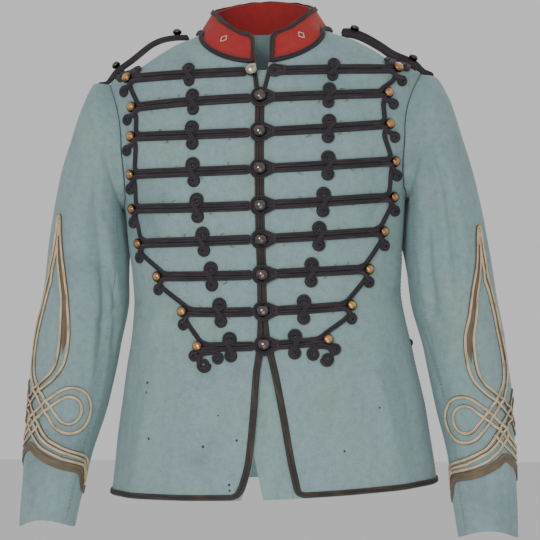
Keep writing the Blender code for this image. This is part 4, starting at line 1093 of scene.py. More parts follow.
def grey(tone):
    return (tone, tone, tone)


def shaded(colour, share):
    return tuple(min(1.0, channel * share) for channel in colour)


def toned(colour, tones):
    return tuple(channel * tone for channel, tone in zip(colour, tones))


def wool_finish(name, colour, sheen_tint):
    """Milled wool: a faint twill under a short nap, faded and soiled in soft patches."""
    material, tree, shader, flat = new_finish(name, 0.92, sheen=0.22, sheen_tint=sheen_tint)
    where = object_place(tree)
    patches = noise(tree, where, scale=9.0, detail=5.0, roughness=0.62)
    streaks = noise(tree, stretched(tree, where, (60, 60, 12)), scale=1.0)
    rubs = noise(tree, where, scale=120.0, detail=4.0, roughness=0.7)
    flecks = noise(tree, flat, scale=420.0, detail=4.0, roughness=0.75)
    green = toned(colour, (0.98, 1.01, 0.93))
    soiled = toned(colour, (0.86, 0.82, 0.70))
    tones = ((0.26, shaded(colour, 0.76)), (0.45, colour), (0.60, green), (0.78, shaded(green, 1.15)))
    faded = ramp(tree, patches, tones)
    worn = mixed(tree, ramp(tree, streaks, ((0.45, grey(0.0)), (0.80, grey(0.55)))), faded, soiled)
    rubbed_wear_and_painted_rim_shade = ramp(tree, rubs, ((0.28, grey(0.84)), (0.50, grey(1.0)), (0.75, (1.12, 1.12, 1.10))))
    speckled = ramp(tree, flecks, ((0.25, grey(0.72)), (0.50, grey(1.0)), (0.78, grey(1.20))))
    worn = mixed(tree, 0.9, worn, rubbed_wear_and_painted_rim_shade, "MULTIPLY")
    paint(tree, shader, mixed(tree, 0.75, worn, speckled, "MULTIPLY"))
    twill = ridges(tree, flat, scale=230.0, turn=63.0)
    nap = noise(tree, flat, scale=700.0, detail=4.0, roughness=0.7)
    bump(tree, shader, summed(tree, nap, twill, share=0.35), strength=0.5, distance=0.0008)
    return material


def cord_finish(name, dark, tinted, pitch):
    """Braided cord: slanting strands, worn from near black to a warm tint on the crowns."""
    material, tree, shader, flat = new_finish(name, 0.78, sheen=0.08, sheen_tint=(0.75, 0.68, 0.7))
    strands = crossed(tree, flat, pitch, slant=52.0)
    worn = noise(tree, stretched(tree, flat, (30, 300, 1)), scale=1.0)
    colour = ramp(tree, worn, ((0.30, shaded(dark, 0.7)), (0.50, dark), (0.72, tinted)))
    lit = ramp(tree, strands, ((0.15, grey(0.55)), (0.85, (1.35, 1.3, 1.32))))
    paint(tree, shader, mixed(tree, 0.9, colour, lit, "MULTIPLY"))
    bump(tree, shader, strands, strength=0.5, distance=0.0005)
    return material


def braid_finish(name, light, deep, width):
    """Metal-thread braid: bright slanting strands, tarnished in patches, between dark edges."""
    material, tree, shader, flat = new_finish(name, 0.55, metallic=0.12, sheen=0.1)
    strands = crossed(tree, flat, pitch=260.0, slant=58.0)
    patches = noise(tree, stretched(tree, flat, (60, 260, 1)), scale=1.0)
    colour = ramp(tree, patches, ((0.28, deep), (0.46, light), (0.75, shaded(light, 1.3))))
    lit = ramp(tree, strands, ((0.10, (0.5, 0.46, 0.4)), (0.80, grey(1.1))))
    woven = mixed(tree, 0.85, colour, lit, "MULTIPLY")
    across = scaled(tree, axis_of(tree, flat, "Y"), 1 / width)
    inside = ramp(tree, across, ((0.10, grey(0)), (0.22, grey(1)), (0.88, grey(1)), (1.0, grey(0))))
    paint(tree, shader, mixed(tree, inside, shaded(deep, 0.35), woven))
    bump(tree, shader, strands, strength=0.5, distance=0.0004)
    return material


def metal_finish(name, bright, tarnish, roughness, rim_shade_reach):
    """Button metal tarnished in patches, with painted shade on its downward-facing half and a painted dark
    reflection round its sides that fades out towards its crown.
    """
    material, tree, shader, flat = new_finish(name, roughness, metallic=1.0)
    where = object_place(tree)
    patches = noise(tree, where, scale=260.0, detail=5.0, roughness=0.65)
    colour = ramp(tree, patches, ((0.30, tarnish), (0.48, bright), (0.75, shaded(bright, 1.15))))
    facing = add_node(tree, "ShaderNodeTexCoord").outputs["Normal"]
    halves = {0: axis_of(tree, facing, "Z"), 1: 0.5, 2: 0.5}
    upward = add_node(tree, "ShaderNodeMath", halves, operation="MULTIPLY_ADD").outputs[0]
    # Painted shade: the further a face turns downward, the darker it is painted.
    painted_underside_shade = ramp(tree, upward, ((0.12, (0.22, 0.20, 0.19)), (0.50, grey(1.0))))
    colour = mixed(tree, 0.8, colour, painted_underside_shade, "MULTIPLY")
    # Painted shade and reflection: the ball is painted near black up to its widest part and fades to its full
    # colour near the crown, standing for dark surroundings reflected in its sides.
    risen = scaled(tree, axis_of(tree, flat, "X"), 1 / rim_shade_reach)
    rubbed_wear_and_painted_rim_shade = ramp(tree, risen, ((0.45, (0.10, 0.07, 0.07)), (0.76, (0.44, 0.37, 0.35)), (0.97, grey(1.0))))
    paint(tree, shader, mixed(tree, 1.0, colour, rubbed_wear_and_painted_rim_shade, "MULTIPLY"))
    rough = ramp(tree, patches, ((0.3, grey(roughness + 0.15)), (0.6, grey(roughness))))
    tree.links.new(rough, shader.inputs["Roughness"])
    bump(tree, shader, noise(tree, where, scale=700.0), strength=0.12, distance=0.0003)
    return material


def thread_finish(name, colour):
    """Twisted thread, with painted light on the ridges of its twist and painted shade in its grooves."""
    material, tree, shader, flat = new_finish(name, 0.8, sheen=0.2)
    strands = ridges(tree, flat, scale=500.0, turn=45.0)
    # Painted light and shade: the twist's ridges are painted lighter and its grooves darker.
    paint(tree, shader, ramp(tree, strands, ((0.1, shaded(colour, 0.6)), (0.9, shaded(colour, 1.2)))))
    bump(tree, shader, strands, strength=0.4, distance=0.0002)
    return material


def colour_property(label, what, default):
    return bpy.props.FloatVectorProperty(
        name=label, description=what, default=default, subtype="COLOR", min=0.0, max=1.0
    )


def length_property(label, what, millimetres):
    return bpy.props.FloatProperty(
        name=label,
        description=what,
        default=millimetres * MM,
        unit="LENGTH",
        subtype="DISTANCE",
        precision=4,
        min=0.0,
    )


class JacketCloth(bpy.types.PropertyGroup):
    """Cloth of the body, sleeves and collar."""

    wall: length_property("Cloth", "Thickness of the blue wool", 2.0)
    collar_wall: length_property("Collar cloth", "Thickness of the collar", 2.4)
    blue: colour_property("Blue", "Sky-blue wool", (0.245, 0.355, 0.375))
    red: colour_property("Red", "Collar wool", (0.39, 0.023, 0.025))
    thread: colour_property("Thread", "Sewing thread", (0.16, 0.23, 0.25))
    # Painted shade: this near-black colour stands for the shade seen in moth holes and in the sunk armhole
    # seams.
    nibbled: colour_property("Nibbled", "Painted shade of moth holes and sunk seams", (0.03, 0.045, 0.05))


class JacketCord(bpy.types.PropertyGroup):
    """Cords, braids and knots."""

    width: length_property("Cord", "Width of one strand of soutache", 6.2)
    height: length_property("Cord height", "Height of one strand", 3.0)
    edge_closed: length_property("Edge, closed", "Width of an edge braid where the fronts meet", 5.8)
    edge_open: length_property("Edge, open", "Width of an edge braid where the fronts part", 9.0)
    hem: length_property("Hem braid", "Width of the braid along the hem", 7.0)
    strand: length_property("Knot strand", "Width of one strand of a cuff knot", 4.5)
    band: length_property("Cuff band", "Width of the band round a cuff", 11.0)
    dark: colour_property("Dark", "Frogging cord", (0.021, 0.017, 0.022))
    tinted: colour_property("Tinted", "Worn crowns of the cord", (0.060, 0.038, 0.050))
    brown: colour_property("Brown", "Edge braid", (0.031, 0.025, 0.021))
    brown_worn: colour_property("Worn brown", "Worn crowns of the edge braid", (0.076, 0.057, 0.042))
    cream: colour_property("Cream", "Cuff knot braid", (0.66, 0.52, 0.34))
    cream_deep: colour_property("Cream hollows", "Hollows of the knot braid", (0.30, 0.21, 0.12))
    whipping: colour_property("Whipping", "Thread round the loops' necks", (0.07, 0.034, 0.034))
    band_brown: colour_property("Band", "Cuff band braid", (0.135, 0.105, 0.064))


class JacketButtons(bpy.types.PropertyGroup):
    """Ball buttons."""

    centre: length_property("Centre button", "Radius of the buttons down the middle", 8.2)
    outer: length_property("Outer button", "Radius of the buttons at the rows' ends", 7.0)
    small: length_property("Small button", "Radius of the shoulder and waist buttons", 6.0)
    brass: colour_property("Brass", "Outer buttons", (0.67, 0.41, 0.185))
    bronze: colour_property("Bronze", "Centre buttons", (0.155, 0.130, 0.122))
    silver: colour_property("Silver", "Top button", (0.56, 0.50, 0.42))


class JacketStage(bpy.types.PropertyGroup):
    """Camera, lights and floor."""

    azimuth: bpy.props.FloatProperty(
        name="Azimuth",
        description="Turn of the camera round the jacket",
        default=math.radians(3.2),
        subtype="ANGLE",
    )
    distance: length_property("Distance", "From the camera to the jacket", 2600.0)
    lens: bpy.props.FloatProperty(
        name="Lens", description="Focal length in millimetres", default=133.3, min=1.0
    )
    aside: length_property("Aside", "Camera's aim to the right of the middle", 6.5)
    aim: bpy.props.FloatProperty(
        name="Aim", description="Height of the camera's aim", default=-0.2925, unit="LENGTH", subtype="DISTANCE"
    )
    floor: bpy.props.FloatProperty(
        name="Floor", description="Height of the floor", default=-1.40, unit="LENGTH", subtype="DISTANCE"
    )
    pale: colour_property("Pale", "Floor and surroundings", (0.80, 0.80, 0.80))


def settings():
    return bpy.context.scene.hussar_jacket


def crown(radius):
    """The height of a button of this radius."""
    return BUTTON_HEIGHT_RATIO * radius


def finishes():
    """The jacket's materials by name, made once."""
    cloth, cord, buttons = settings().cloth, settings().cord, settings().buttons
    brass, bronze, silver = buttons.brass, buttons.bronze, buttons.silver
    makers = {
        "blue wool": (wool_finish, cloth.blue, (0.75, 0.88, 0.92)),
        "red wool": (wool_finish, cloth.red, (1.0, 0.6, 0.55)),
        "dark cord": (cord_finish, cord.dark, cord.tinted, 210.0),
        "brown braid": (cord_finish, cord.brown, cord.brown_worn, 180.0),
        "cream braid": (braid_finish, cord.cream, cord.cream_deep, 1.2 * cord.strand),
        "band braid": (cord_finish, cord.band_brown, shaded(cord.band_brown, 1.5), 200.0),
        # Each metal's last number is the height over which its painted rim shade fades out.
        "brass": (metal_finish, brass, shaded(brass, 0.42), 0.15, crown(buttons.outer)),
        "bronze": (metal_finish, bronze, shaded(bronze, 0.45), 0.12, crown(0.58 * buttons.small)),
        "silver": (metal_finish, silver, shaded(silver, 0.5), 0.22, crown(buttons.small)),
        "blue thread": (thread_finish, cloth.thread),
        "whipping": (thread_finish, cord.whipping),
        # Painted shade for moth holes and sunk seams.
        "nibbled wool": (thread_finish, cloth.nibbled),
    }
    return {name: bpy.data.materials.get(name) or make(name, *looks) for name, (make, *looks) in makers.items()}


def cut_back(points, gap=SEAM_GAP):
    """Draws a panel's edges in along its own surface, by half a seam's gap."""
    for edge, inside in ((0, 1), (-1, -2)):
        points[edge] += gap / 2 * unit(points[inside] - points[edge])
        points[:, edge] += gap / 2 * unit(points[:, inside] - points[:, edge])
    return points


def away_from_centre(turn, sweep):
    """From 0 at the centre front or back to 1 at the side, held near 0 for longer by a lower sweep."""
    return 1 - np.abs(np.cos(np.radians(turn))) ** sweep


def panel_places(side, behind):
    """A front's or back's places, row by row from the hem up: turns and heights."""
    skirt = np.linspace(HEM, ARMHOLE_BOTTOM, SKIRT_ROWS, endpoint=False)
    angles = np.linspace(-90, 90, ARMHOLE_ROWS)
    arm_turns, arm_heights = armhole(180 - angles if behind else angles)
    centre_top = BACK_AT_SHOULDER if behind else FRONT_AT_SHOULDER
    risen = (arm_heights - ARMHOLE_BOTTOM) / (ARMHOLE_TOP - ARMHOLE_BOTTOM)
    slope = np.linspace(0, 1, SHOULDER_ROWS + 1)[1:]
    neck = NECK_BACK if behind else NECK_FRONT
    outer_turn = np.concatenate((np.full(len(skirt), 90.0), arm_turns, np.full(len(slope), 90.0)))
    outer_height = np.concatenate((skirt, arm_heights, ARMHOLE_TOP + (NECK_SIDE - ARMHOLE_TOP) * slope))
    beside_arm = ARMHOLE_BOTTOM + (centre_top - ARMHOLE_BOTTOM) * risen
    centre_height = np.concatenate((skirt, beside_arm, centre_top + (neck - centre_top) * slope))
    edge_turn = np.full(len(centre_height), 180.0)
    if not behind:
        edge_turn = front_turn(EDGES.at(side, centre_height), centre_height)
    share = np.linspace(0, 1, PANEL_COLUMNS + 1)
    turn = edge_turn[:, None] + (outer_turn - edge_turn)[:, None] * share
    end = SWEEP if behind else NECK_FRONT_SWEEP
    sweep = np.concatenate((np.full(len(skirt) + len(angles), SWEEP), SWEEP + (end - SWEEP) * slope))[:, None]
    over = away_from_centre(turn, sweep) / away_from_centre(outer_turn[:, None], sweep)
    height = centre_height[:, None] + (outer_height - centre_height)[:, None] * over
    return np.stack((SIDES[side] * turn, height), axis=-1)


def flat_area(outer):
    """The area of a grid of points, in square metres."""
    first = np.cross(outer[1:, :-1] - outer[:-1, :-1], outer[:-1, 1:] - outer[:-1, :-1])
    second = np.cross(outer[1:, :-1] - outer[1:, 1:], outer[:-1, 1:] - outer[1:, 1:])
    return (np.linalg.norm(first, axis=-1).sum() + np.linalg.norm(second, axis=-1).sum()) / 2 * MM * MM


def hang(node, outer, normal, wall, colour="blue"):
    """A node's piece of cloth with this wall."""
    book = MeshBook()
    book.shell(outer, outer - wall * normal)
    obj = book.make(f"wool_{node}", [f"{colour} wool"], [node], f"{colour}_wool")
    width = lengths_along(outer.swapaxes(0, 1))[-1].max() * MM
    length = lengths_along(outer)[-1].max() * MM
    area = flat_area(outer)


def stitches(book, surface, steps, path):
    """Running stitches along a path on a surface, each a short rounded thread."""
    point, _, _, normal = outward(surface, path, steps)
    along = lengths_along(point)
    swell = np.sin(np.linspace(0.25, math.pi - 0.25, STITCH_RINGS))[:, None, None]
    for start in np.arange(STITCH_GAP, along[-1] - STITCH_LENGTH, STITCH_LENGTH + STITCH_GAP):
        at = start + STITCH_LENGTH * np.linspace(0, 1, STITCH_RINGS)
        spine = np.column_stack([np.interp(at, along, point[:, k]) for k in range(3)])
        up = unit(np.column_stack([np.interp(at, along, normal[:, k]) for k in range(3)]))
        aside = np.cross(up, unit(np.gradient(spine, axis=0)))
        rim = wheel(aside[:, None], up[:, None], STITCH_SIDES)
        book.tube(spine[:, None] + STITCH_RISE * swell * up[:, None] + STITCH_WIDTH / 2 * swell * rim)


class JACKET_OT_body(bpy.types.Operator):
    """Cut the fronts and backs from blue wool, with their seams' stitches and a few moth holes as dark discs of
    painted shade
    """

    bl_idname = "jacket.body"
    bl_label = "Fronts and Backs"

    def execute(self, context):
        wall = settings().cloth.wall / MM
        for side in SIDES:
            for behind in (False, True):
                point, _, _, normal = outward(torso, panel_places(side, behind), TORSO_STEPS)
                outer = cut_back(point, BODY_SEAM_GAP)
                hang(f"{'back' if behind else 'front'}_{side}", outer, normal, wall)
        self.sew()
        self.nibble()
        return {"FINISHED"}

    def sew(self):
        book = MeshBook()
        for turn, away, low, high, count in BODY_SEAMS:
            for beside_seam in (turn - away, turn + away):
                stitches(book, torso, TORSO_STEPS, places_at(beside_seam, np.linspace(low, high, count)))
        book.make("seam_stitches", ["blue thread"], (), "blue_wool")

    def nibble(self):
        book = MeshBook()
        chance = np.random.default_rng(NIBBLE_SEED)
        # Painted shade: each hole is a slightly raised near-black disc that stands for the shade seen through
        # it.
        for x, height, size in NIBBLES:
            point, along_x, along_z, normal = outward(front, (x, height), MM_STEPS)
            spread = size * (0.75 + 0.5 * chance.random(NIBBLE_SIDES))
            rim = spread[:, None] * wheel(unit(along_x), unit(along_z), NIBBLE_SIDES)
            book.tube([point + share * rim + up * normal for share, up in NIBBLE_RINGS])
        book.make("moth_hole_shade", ["nibbled wool"], (), "blue_wool")


class JACKET_OT_sleeves(bpy.types.Operator):
    """Cut the top and under pieces of both sleeves and stitch their seams"""

    bl_idname = "jacket.sleeves"
    bl_label = "Sleeves"

    def execute(self, context):
        wall = settings().cloth.wall / MM
        seams = MeshBook()
        ends = (FRONT_SEAM_ANGLE, BACK_SEAM_ANGLE, FRONT_SEAM_ANGLE + 360)
        for side, sign in SIDES.items():
            for name, first, last in zip(("sleeve_top", "sleeve_under"), ends, ends[1:]):
                outer, normal = self.cut(side, sign, first, last)
                hang(f"{name}_{side}", outer, normal, wall)
            self.sew(seams, side, sign)
        seams.make("sleeve_stitches_and_seam_shade", ["blue thread", "nibbled wool"], (), "blue_wool")
        return {"FINISHED"}

    def cut(self, side, sign, first, last):
        """A sleeve piece's outer points and directions."""
        angles = np.linspace(first, last, round((last - first) / SLEEVE_COLUMN_TURN) + 1)
        rings = np.linspace(0, CUFF_RING, SLEEVE_ROWS)
        places = np.stack(np.meshgrid(angles, rings), axis=-1)
        point, _, _, normal = outward(lambda a, r: sleeve(side, a, r), places, SLEEVE_STEPS)
        normal = -sign * normal
        turn, height = armhole(angles)
        rim = outward(torso, places_at(sign * turn, height), TORSO_STEPS)[3]
        fading = (1 - ease(rings / 0.5))[:, None, None]
        point = point + LAY_GAP * fading * rim
        normal = unit(normal * (1 - fading) + rim * fading)
        return cut_back(point), normal

    def sew(self, book, side, sign):
        """Stitches along both seams and round the armhole, whose sunk seam gets a dark line of painted shade."""

        def facing_out(angle, ring):
            return sleeve(side, -sign * angle, ring)

        rings = np.linspace(0.15, CUFF_RING - 0.1, 400)
        for seam in (FRONT_SEAM_ANGLE, BACK_SEAM_ANGLE):
            for angle in (seam - SLEEVE_STITCHES_AWAY, seam + SLEEVE_STITCHES_AWAY):
                stitches(book, facing_out, SLEEVE_STEPS, places_at(-sign * angle, rings))
        for first in (-80, 100):
            angles = np.linspace(first, first + 160, 200)
            stitches(book, facing_out, SLEEVE_STEPS, places_at(-sign * angles, ARMHOLE_STITCH_RING))
        # Painted shade: a near-black thread laid in the armhole's seam stands for the shadow in the seam's
        # ditch.
        angles = np.linspace(SEAM_SHADE_WIDTHS[0][0], SEAM_SHADE_WIDTHS[-1][0], 220)
        turn, height = armhole(angles)
        widths = np.interp(angles, *zip(*SEAM_SHADE_WIDTHS))
        section = round_section(*SEAM_SHADE_LINE, sides=8)
        ditch = places_at(sign * turn, height)
        book.tube(laid_rings(torso, TORSO_STEPS, ditch, section, SEAM_SHADE_LIFT, widths), 1)


class JACKET_OT_collar(bpy.types.Operator):
    """Make the red collar, its cord and frayed braid, and a small plain lozenge on each wing"""

    bl_idname = "jacket.collar"
    bl_label = "Collar"

    def execute(self, context):
        wall = settings().cloth.collar_wall / MM
        along = np.linspace(0, 1, COLLAR_COLUMNS)
        up = np.linspace(0, 1, COLLAR_ROWS)
        point, _, _, normal = outward(collar, np.stack(np.meshgrid(along, up), axis=-1), COLLAR_STEPS)
        hang("collar", cut_back(point), normal, wall, "red")
        self.trim()
        self.lozenges()
        return {"FINISHED"}

    def trim(self):
        """The dark cord along the collar's base, and the worn and frayed braid along its edge."""
        base = places_at(np.linspace(COLLAR_INSET, 1 - COLLAR_INSET, 260), COLLAR_BASE_UP)
        book = MeshBook()
        book.tube(laid_rings(collar, COLLAR_STEPS, base, soutache(*COLLAR_BASE_CORD), LAY_GAP))
        book.make("cord_collar_base", ["dark cord"], ["collar_base_cord"], "dark_cord")
        along = np.linspace(4 * COLLAR_INSET, 1 - 4 * COLLAR_INSET, 240)
        top = places_at(along, COLLAR_BRAID_UP + 0.012 * np.sin(61 * along) * np.sin(23 * along + 1.3))
        left_end = places_at(COLLAR_INSET, COLLAR_END_UPS)
        right_end = places_at(1 - COLLAR_INSET, COLLAR_END_UPS[::-1])
        path = np.concatenate((left_end, top, right_end))
        order = np.arange(len(path))
        thin = 1 + 0.16 * np.sin(0.37 * order) * np.sin(0.11 * order)
        book = MeshBook()
        book.tube(laid_rings(collar, COLLAR_STEPS, path, soutache(*COLLAR_BRAID), LAY_GAP, thin, thin))
        self.fray(book)
        book.make("braid_collar_edge", ["brown braid"], ["collar_edge_braid"], "brown_braid")

    def fray(self, book):
        """Broken threads along the collar's top edge and front ends."""
        chance = np.random.default_rng(FRAY_SEED)
        along = np.concatenate([chance.uniform(*span) for span in FRAYED_ALONG])
        up = np.concatenate([chance.uniform(*span) for span in FRAYED_UP])
        places = zip(*outward(collar, places_at(along, up), COLLAR_STEPS))
        for point, along_u, along_v, normal in places:
            lean = chance.normal(0, 0.5, 3)
            grow = unit(unit(along_v) + 0.5 * lean[0] * unit(along_u) + 0.5 * lean[1] * normal)
            aside = unit(np.cross(grow, normal))
            rim = wheel(aside, np.cross(grow, aside), FRAY_SIDES)
            length = chance.uniform(1.2, 4.2)
            start = point + normal * (LAY_GAP + 0.9)
            rings = []
            for share, radius in FRAY_TAPER:
                spine = start + grow * length * share + aside * lean[2] * share * share
                rings.append(spine + radius * rim)
            book.tube(rings)

    def lozenges(self):
        """A plain worked lozenge where each wing carries its badge."""
        book = MeshBook()
        corners = np.array(LOZENGE)
        sides = [np.linspace(start, end, 8, endpoint=False) for start, end in zip(corners, corners[1:])]
        for along in LOZENGES_ALONG:
            middle = (along, LOZENGE_UP)
            rates = outward(collar, middle, COLLAR_STEPS)[1:3]
            places = middle + np.concatenate(sides) / np.linalg.norm(rates, axis=1)
            section = round_section(*LOZENGE_CORD, sides=8)
            book.tube(laid_rings(collar, COLLAR_STEPS, places, section, 0.05), hoop=True)
        book.make("collar_lozenges", ["cream braid"], (), "gold_braid")


class JACKET_OT_underlap(bpy.types.Operator):
    """Cut the underlap that is sewn behind the left front's edge"""

    bl_idname = "jacket.underlap"
    bl_label = "Underlap"

    def execute(self, context):
        wall = settings().cloth.wall / MM
        heights = np.linspace(HEM, NECK_FRONT - 8, UNDERLAP_ROWS)[:, None]
        across = np.linspace(-UNDERLAP_REACH, UNDERLAP_SEWN, UNDERLAP_COLUMNS)
        places = places_at(EDGES.at("left", heights) + across, heights)
        point, _, _, normal = outward(front, places, MM_STEPS)
        outer = point - (wall + UNDERLAP_GAP) * normal
        hang("underlap", outer, normal, UNDERLAP_CLOTH)
        return {"FINISHED"}


class JACKET_OT_edge_braids(bpy.types.Operator):
    """Lay the brown braid down each front edge and along the hem to the centre back"""

    bl_idname = "jacket.edge_braids"
    bl_label = "Edge Braids"

    def execute(self, context):
        cord = settings().cord
        closed, wide, hem = cord.edge_closed / MM, cord.edge_open / MM, cord.hem / MM
        corner = HEM + hem / 2 + 0.6
        for side, sign in SIDES.items():
            heights = np.linspace(NECK_FRONT - 6, corner + CORNER_RISE, 220)
            widths = closed + (wide - closed) * ease((EDGE_WIDENS - heights) / EDGE_WIDENING)
            inset = EDGE_INSET * ease((EDGE_PARTS - heights) / EDGE_PARTING) - EDGE_OVERHANG
            turns = front_turn(EDGES.at(side, heights) + widths / 2 + inset, heights)
            turn_in = float(front_turn(EDGES.at(side, corner) + wide / 2 + 1.5, corner))
            bend = ((turns[-1], corner + CORNER_RISE), (turn_in, corner + 3), (turn_in + CORNER_TURN, corner))
            bend = smooth_path(bend, 0.7)[1:-1]
            along = places_at(np.linspace(turn_in + CORNER_TURN, 179.8, 260), corner)
            path = np.concatenate((places_at(turns, heights), bend, along)) * (sign, 1)
            scale = np.concatenate((widths, np.linspace(wide, hem, len(bend)), np.full(len(along), hem)))
            book = MeshBook()
            book.tube(laid_rings(torso, TORSO_STEPS, path, soutache(*EDGE_BRAID), LAY_GAP, scale))
            book.make(f"braid_edge_{side}", ["brown braid"], [f"edge_braid_{side}"], "brown_braid")
        return {"FINISHED"}


class JACKET_OT_frogging(bpy.types.Operator):
    """Lay the nine double rows of soutache with their eyes, links and loops on each front"""

    bl_idname = "jacket.frogging"
    bl_label = "Frogging"

    def execute(self, context):
        cord = settings().cord
        self.section = soutache(cord.width / MM, cord.height / MM)
        self.half_width = cord.width / MM / 2
        self.rise = cord.height / MM
        for side, sign in SIDES.items():
            self.side = side
            self.sign = sign
            self.book = MeshBook()
            for row in range(1, LAST_ROW + 1):
                self.bar(row)
                self.eyes(row)
            self.first_row_end()
            self.last_row_end()
            self.threads()
            node = f"frogging_{side}"
            self.book.make(f"cord_{node}", ["dark cord", "whipping"], [node], "dark_cord")
        return {"FINISHED"}

    def lay(self, places, lift, section=None, kind=0):
        """A cord along places given as distance from the middle and height on this side's front."""
        path = np.array(places, float) * (self.sign, 1)
        shape = self.section if section is None else section
        ends = rounded_ends(path, CORD_END)
        self.book.tube(laid_rings(front, MM_STEPS, path, shape, lift, ends, ends), kind)

    def bar(self, row):
        """A row's cord: in by the upper strand, round at the middle, back by the lower one and into an eye."""
        end = row_end(self.side, row)
        neck, turn = self.middle(row)
        xs = np.append(np.arange(beside(end, BAR_START, 0)[0], neck + 3, -BAR_STEP), neck)
        level = np.array([row_place(self.side, row, x)[1] for x in xs])
        slope = outward(front, places_at(self.sign * xs, level), MM_STEPS)[2]
        apart = STRAND_APART / np.linalg.norm(slope, axis=1)
        upper = places_at(xs, level + apart)
        lower = places_at(xs, level - apart)[::-1]
        last = row == LAST_ROW
        eye = beside(end, *(LAST_ROW_EYES[self.side][0][:2] if last else OUTER_EYES[row - 1]))
        curl = [beside(end, *place) for place in (CURL[:1] if last else CURL)]
        curl = np.concatenate((curl, self.spiral(eye, OUTER_EYE_RADIUS, CURL_END, CURL_TURN)[::-1]))
        path = smooth_path(np.concatenate((self.arrival(row, end), upper, turn, lower, curl)), BAR_PATH_STEP)
        lift = np.full(len(path), LAY_GAP)
        if self.side == "left":
            lift += self.loop_lift(neck, path)
            self.whip(row, neck - 1)
            wedge = np.arange(neck - WEDGE_REACH, neck + LOOP_RISE_START, TIE_PATH_STEP)
            wedge = np.array([row_place(self.side, row, x) for x in wedge])
            self.lay(wedge, WEDGE_LIFT + self.loop_lift(neck, wedge))
        passed = np.linspace(0, 1, len(path)) > 0.5
        crossing = np.linalg.norm(path - beside(end, *CROSSING), axis=1)
        lift += passed * CROSSING_LIFT * self.rise * ease((CROSSING_REACH - crossing) / CROSSING_RUN)
        lift[-CURL_TAIL:] += np.linspace(0, CURL_TAIL_LIFT, CURL_TAIL)
        self.lay(path, lift)
        self.lay([beside(end, out, 0) for out in np.arange(*FILLER)], 0.3 * LAY_GAP)

    def loop_lift(self, neck, path):
        """How far a loop has risen off the cloth, past the start of its neck."""
        return (LOOP_LIFT - LAY_GAP) * ease((neck + LOOP_RISE_START - path[:, 0]) / LOOP_RISE_RUN)

    def middle(self, row):
        """Where a row's strands end at the middle, and their turn there: round the button on the left front."""
        height = float(ROWS.at("height", row))
        if self.side == "right":
            start = FIRST_BAR_START if row == 1 else RIGHT_BAR_START
            return start, arc((start, height), STRAND_APART, 90, 270, 30)
        middle, radius = (FIRST_LOOP_MIDDLE, FIRST_LOOP_RADIUS) if row == 1 else (BUTTON_LINE, LOOP_RADIUS)
        return middle + radius + LOOP_NECK, arc((middle, height), radius, *LOOP_ARC)

    def arrival(self, row, end):
        """The start of a row's cord: at the button on the first row, or else the link from the row above."""
        if row == 1:
            return [beside(end, -4, STRAND_APART)]
        above = row_end(self.side, row - 1)
        arrives = LINK_ARRIVES if row < LOW_LINKS else LOW_LINK_ARRIVES
        return [beside(above, *place) for place in LINK_LEAVES] + [beside(end, *place) for place in arrives]

    def whip(self, row, neck):
        """A few turns of thread that hold a loop's neck."""
        x, height = row_place(self.side, row, neck)
        across = height + np.linspace(-WHIP_REACH, WHIP_REACH, WHIP_POINTS)
        over = np.sin(np.linspace(0.05, math.pi - 0.05, WHIP_POINTS)) ** 0.35
        lift = 0.6 * LOOP_LIFT + (self.rise + 0.4) * over
        for turn in range(WHIP_TURNS):
            self.lay(places_at(x + turn, across), lift, round_section(*WHIP_THREAD, sides=6), 1)

    def eyes(self, row):
        """A cord that coils into an eye above the row, crosses it and coils into an eye below."""
        x, height = row_place(self.side, row, float(ROWS.at(f"eyes_{self.side}", row)))
        near = min(1.0, FIRST_EYES_SHARE + EYES_SHARE_STEP * row)
        above = (x, height + near * UPPER_EYE_RISE)
        below = (x - 1, height - near * LOWER_EYE_DROP)
        upper = self.spiral(above, UPPER_EYE_RADIUS * near**0.5, UPPER_EYE_END, EYE_TURN)
        lower = self.spiral(below, LOWER_EYE_RADIUS * near**0.5, LOWER_EYE_END, EYE_TURN)[::-1]
        path = smooth_path(np.concatenate((upper, lower)), EYE_PATH_STEP)
        over = np.abs(path[:, 1] - height) - 2 * STRAND_APART
        self.lay(path, LAY_GAP + self.rise * ease((3.0 - over) / 3.0))

    def spiral(self, middle, radius, end, turn):
        """Places that wind out from near a middle to an eye's ring, through this turn to an end angle."""
        share = np.linspace(0, 1, SPIRAL_POINTS)
        angles = np.radians(end + turn * np.linspace(1, 0, SPIRAL_POINTS))
        reach = (radius - self.half_width) * np.clip(SPIRAL_HEART + SPIRAL_GROWTH * share, 0, 1)
        return np.column_stack((middle[0] + reach * np.cos(angles), middle[1] + reach * np.sin(angles)))

    def coil(self, middle, radius, start, lift=0.3):
        """A closed eye of cord round a middle."""
        path = smooth_path(arc(middle, radius - self.half_width, start, start + COIL_TURN), TIE_PATH_STEP)
        self.lay(path, LAY_GAP + lift + np.linspace(0, 0.6, len(path)))

    def first_row_end(self):
        """The two eyes of the first row, tied by cords round the top of its button."""
        button = row_end(self.side, 1)
        for eye, lift in zip(FIRST_ROW_EYES, (0.3, 1.6)):
            self.coil(beside(button, *eye), FIRST_ROW_EYE_RADIUS, 200, lift)
        for radius in FIRST_ROW_TIE_RADII:
            path = [beside(button, *place) for place in arc((0, 0), radius, 160, 14, 20)]
            self.lay(smooth_path(path, TIE_PATH_STEP), LAY_GAP + 0.6)
        if self.side == "left":
            self.coil((FIRST_LOOP_MIDDLE, float(ROWS.at("height", 1))), FIRST_LOOP_RADIUS - 1.4, 0)

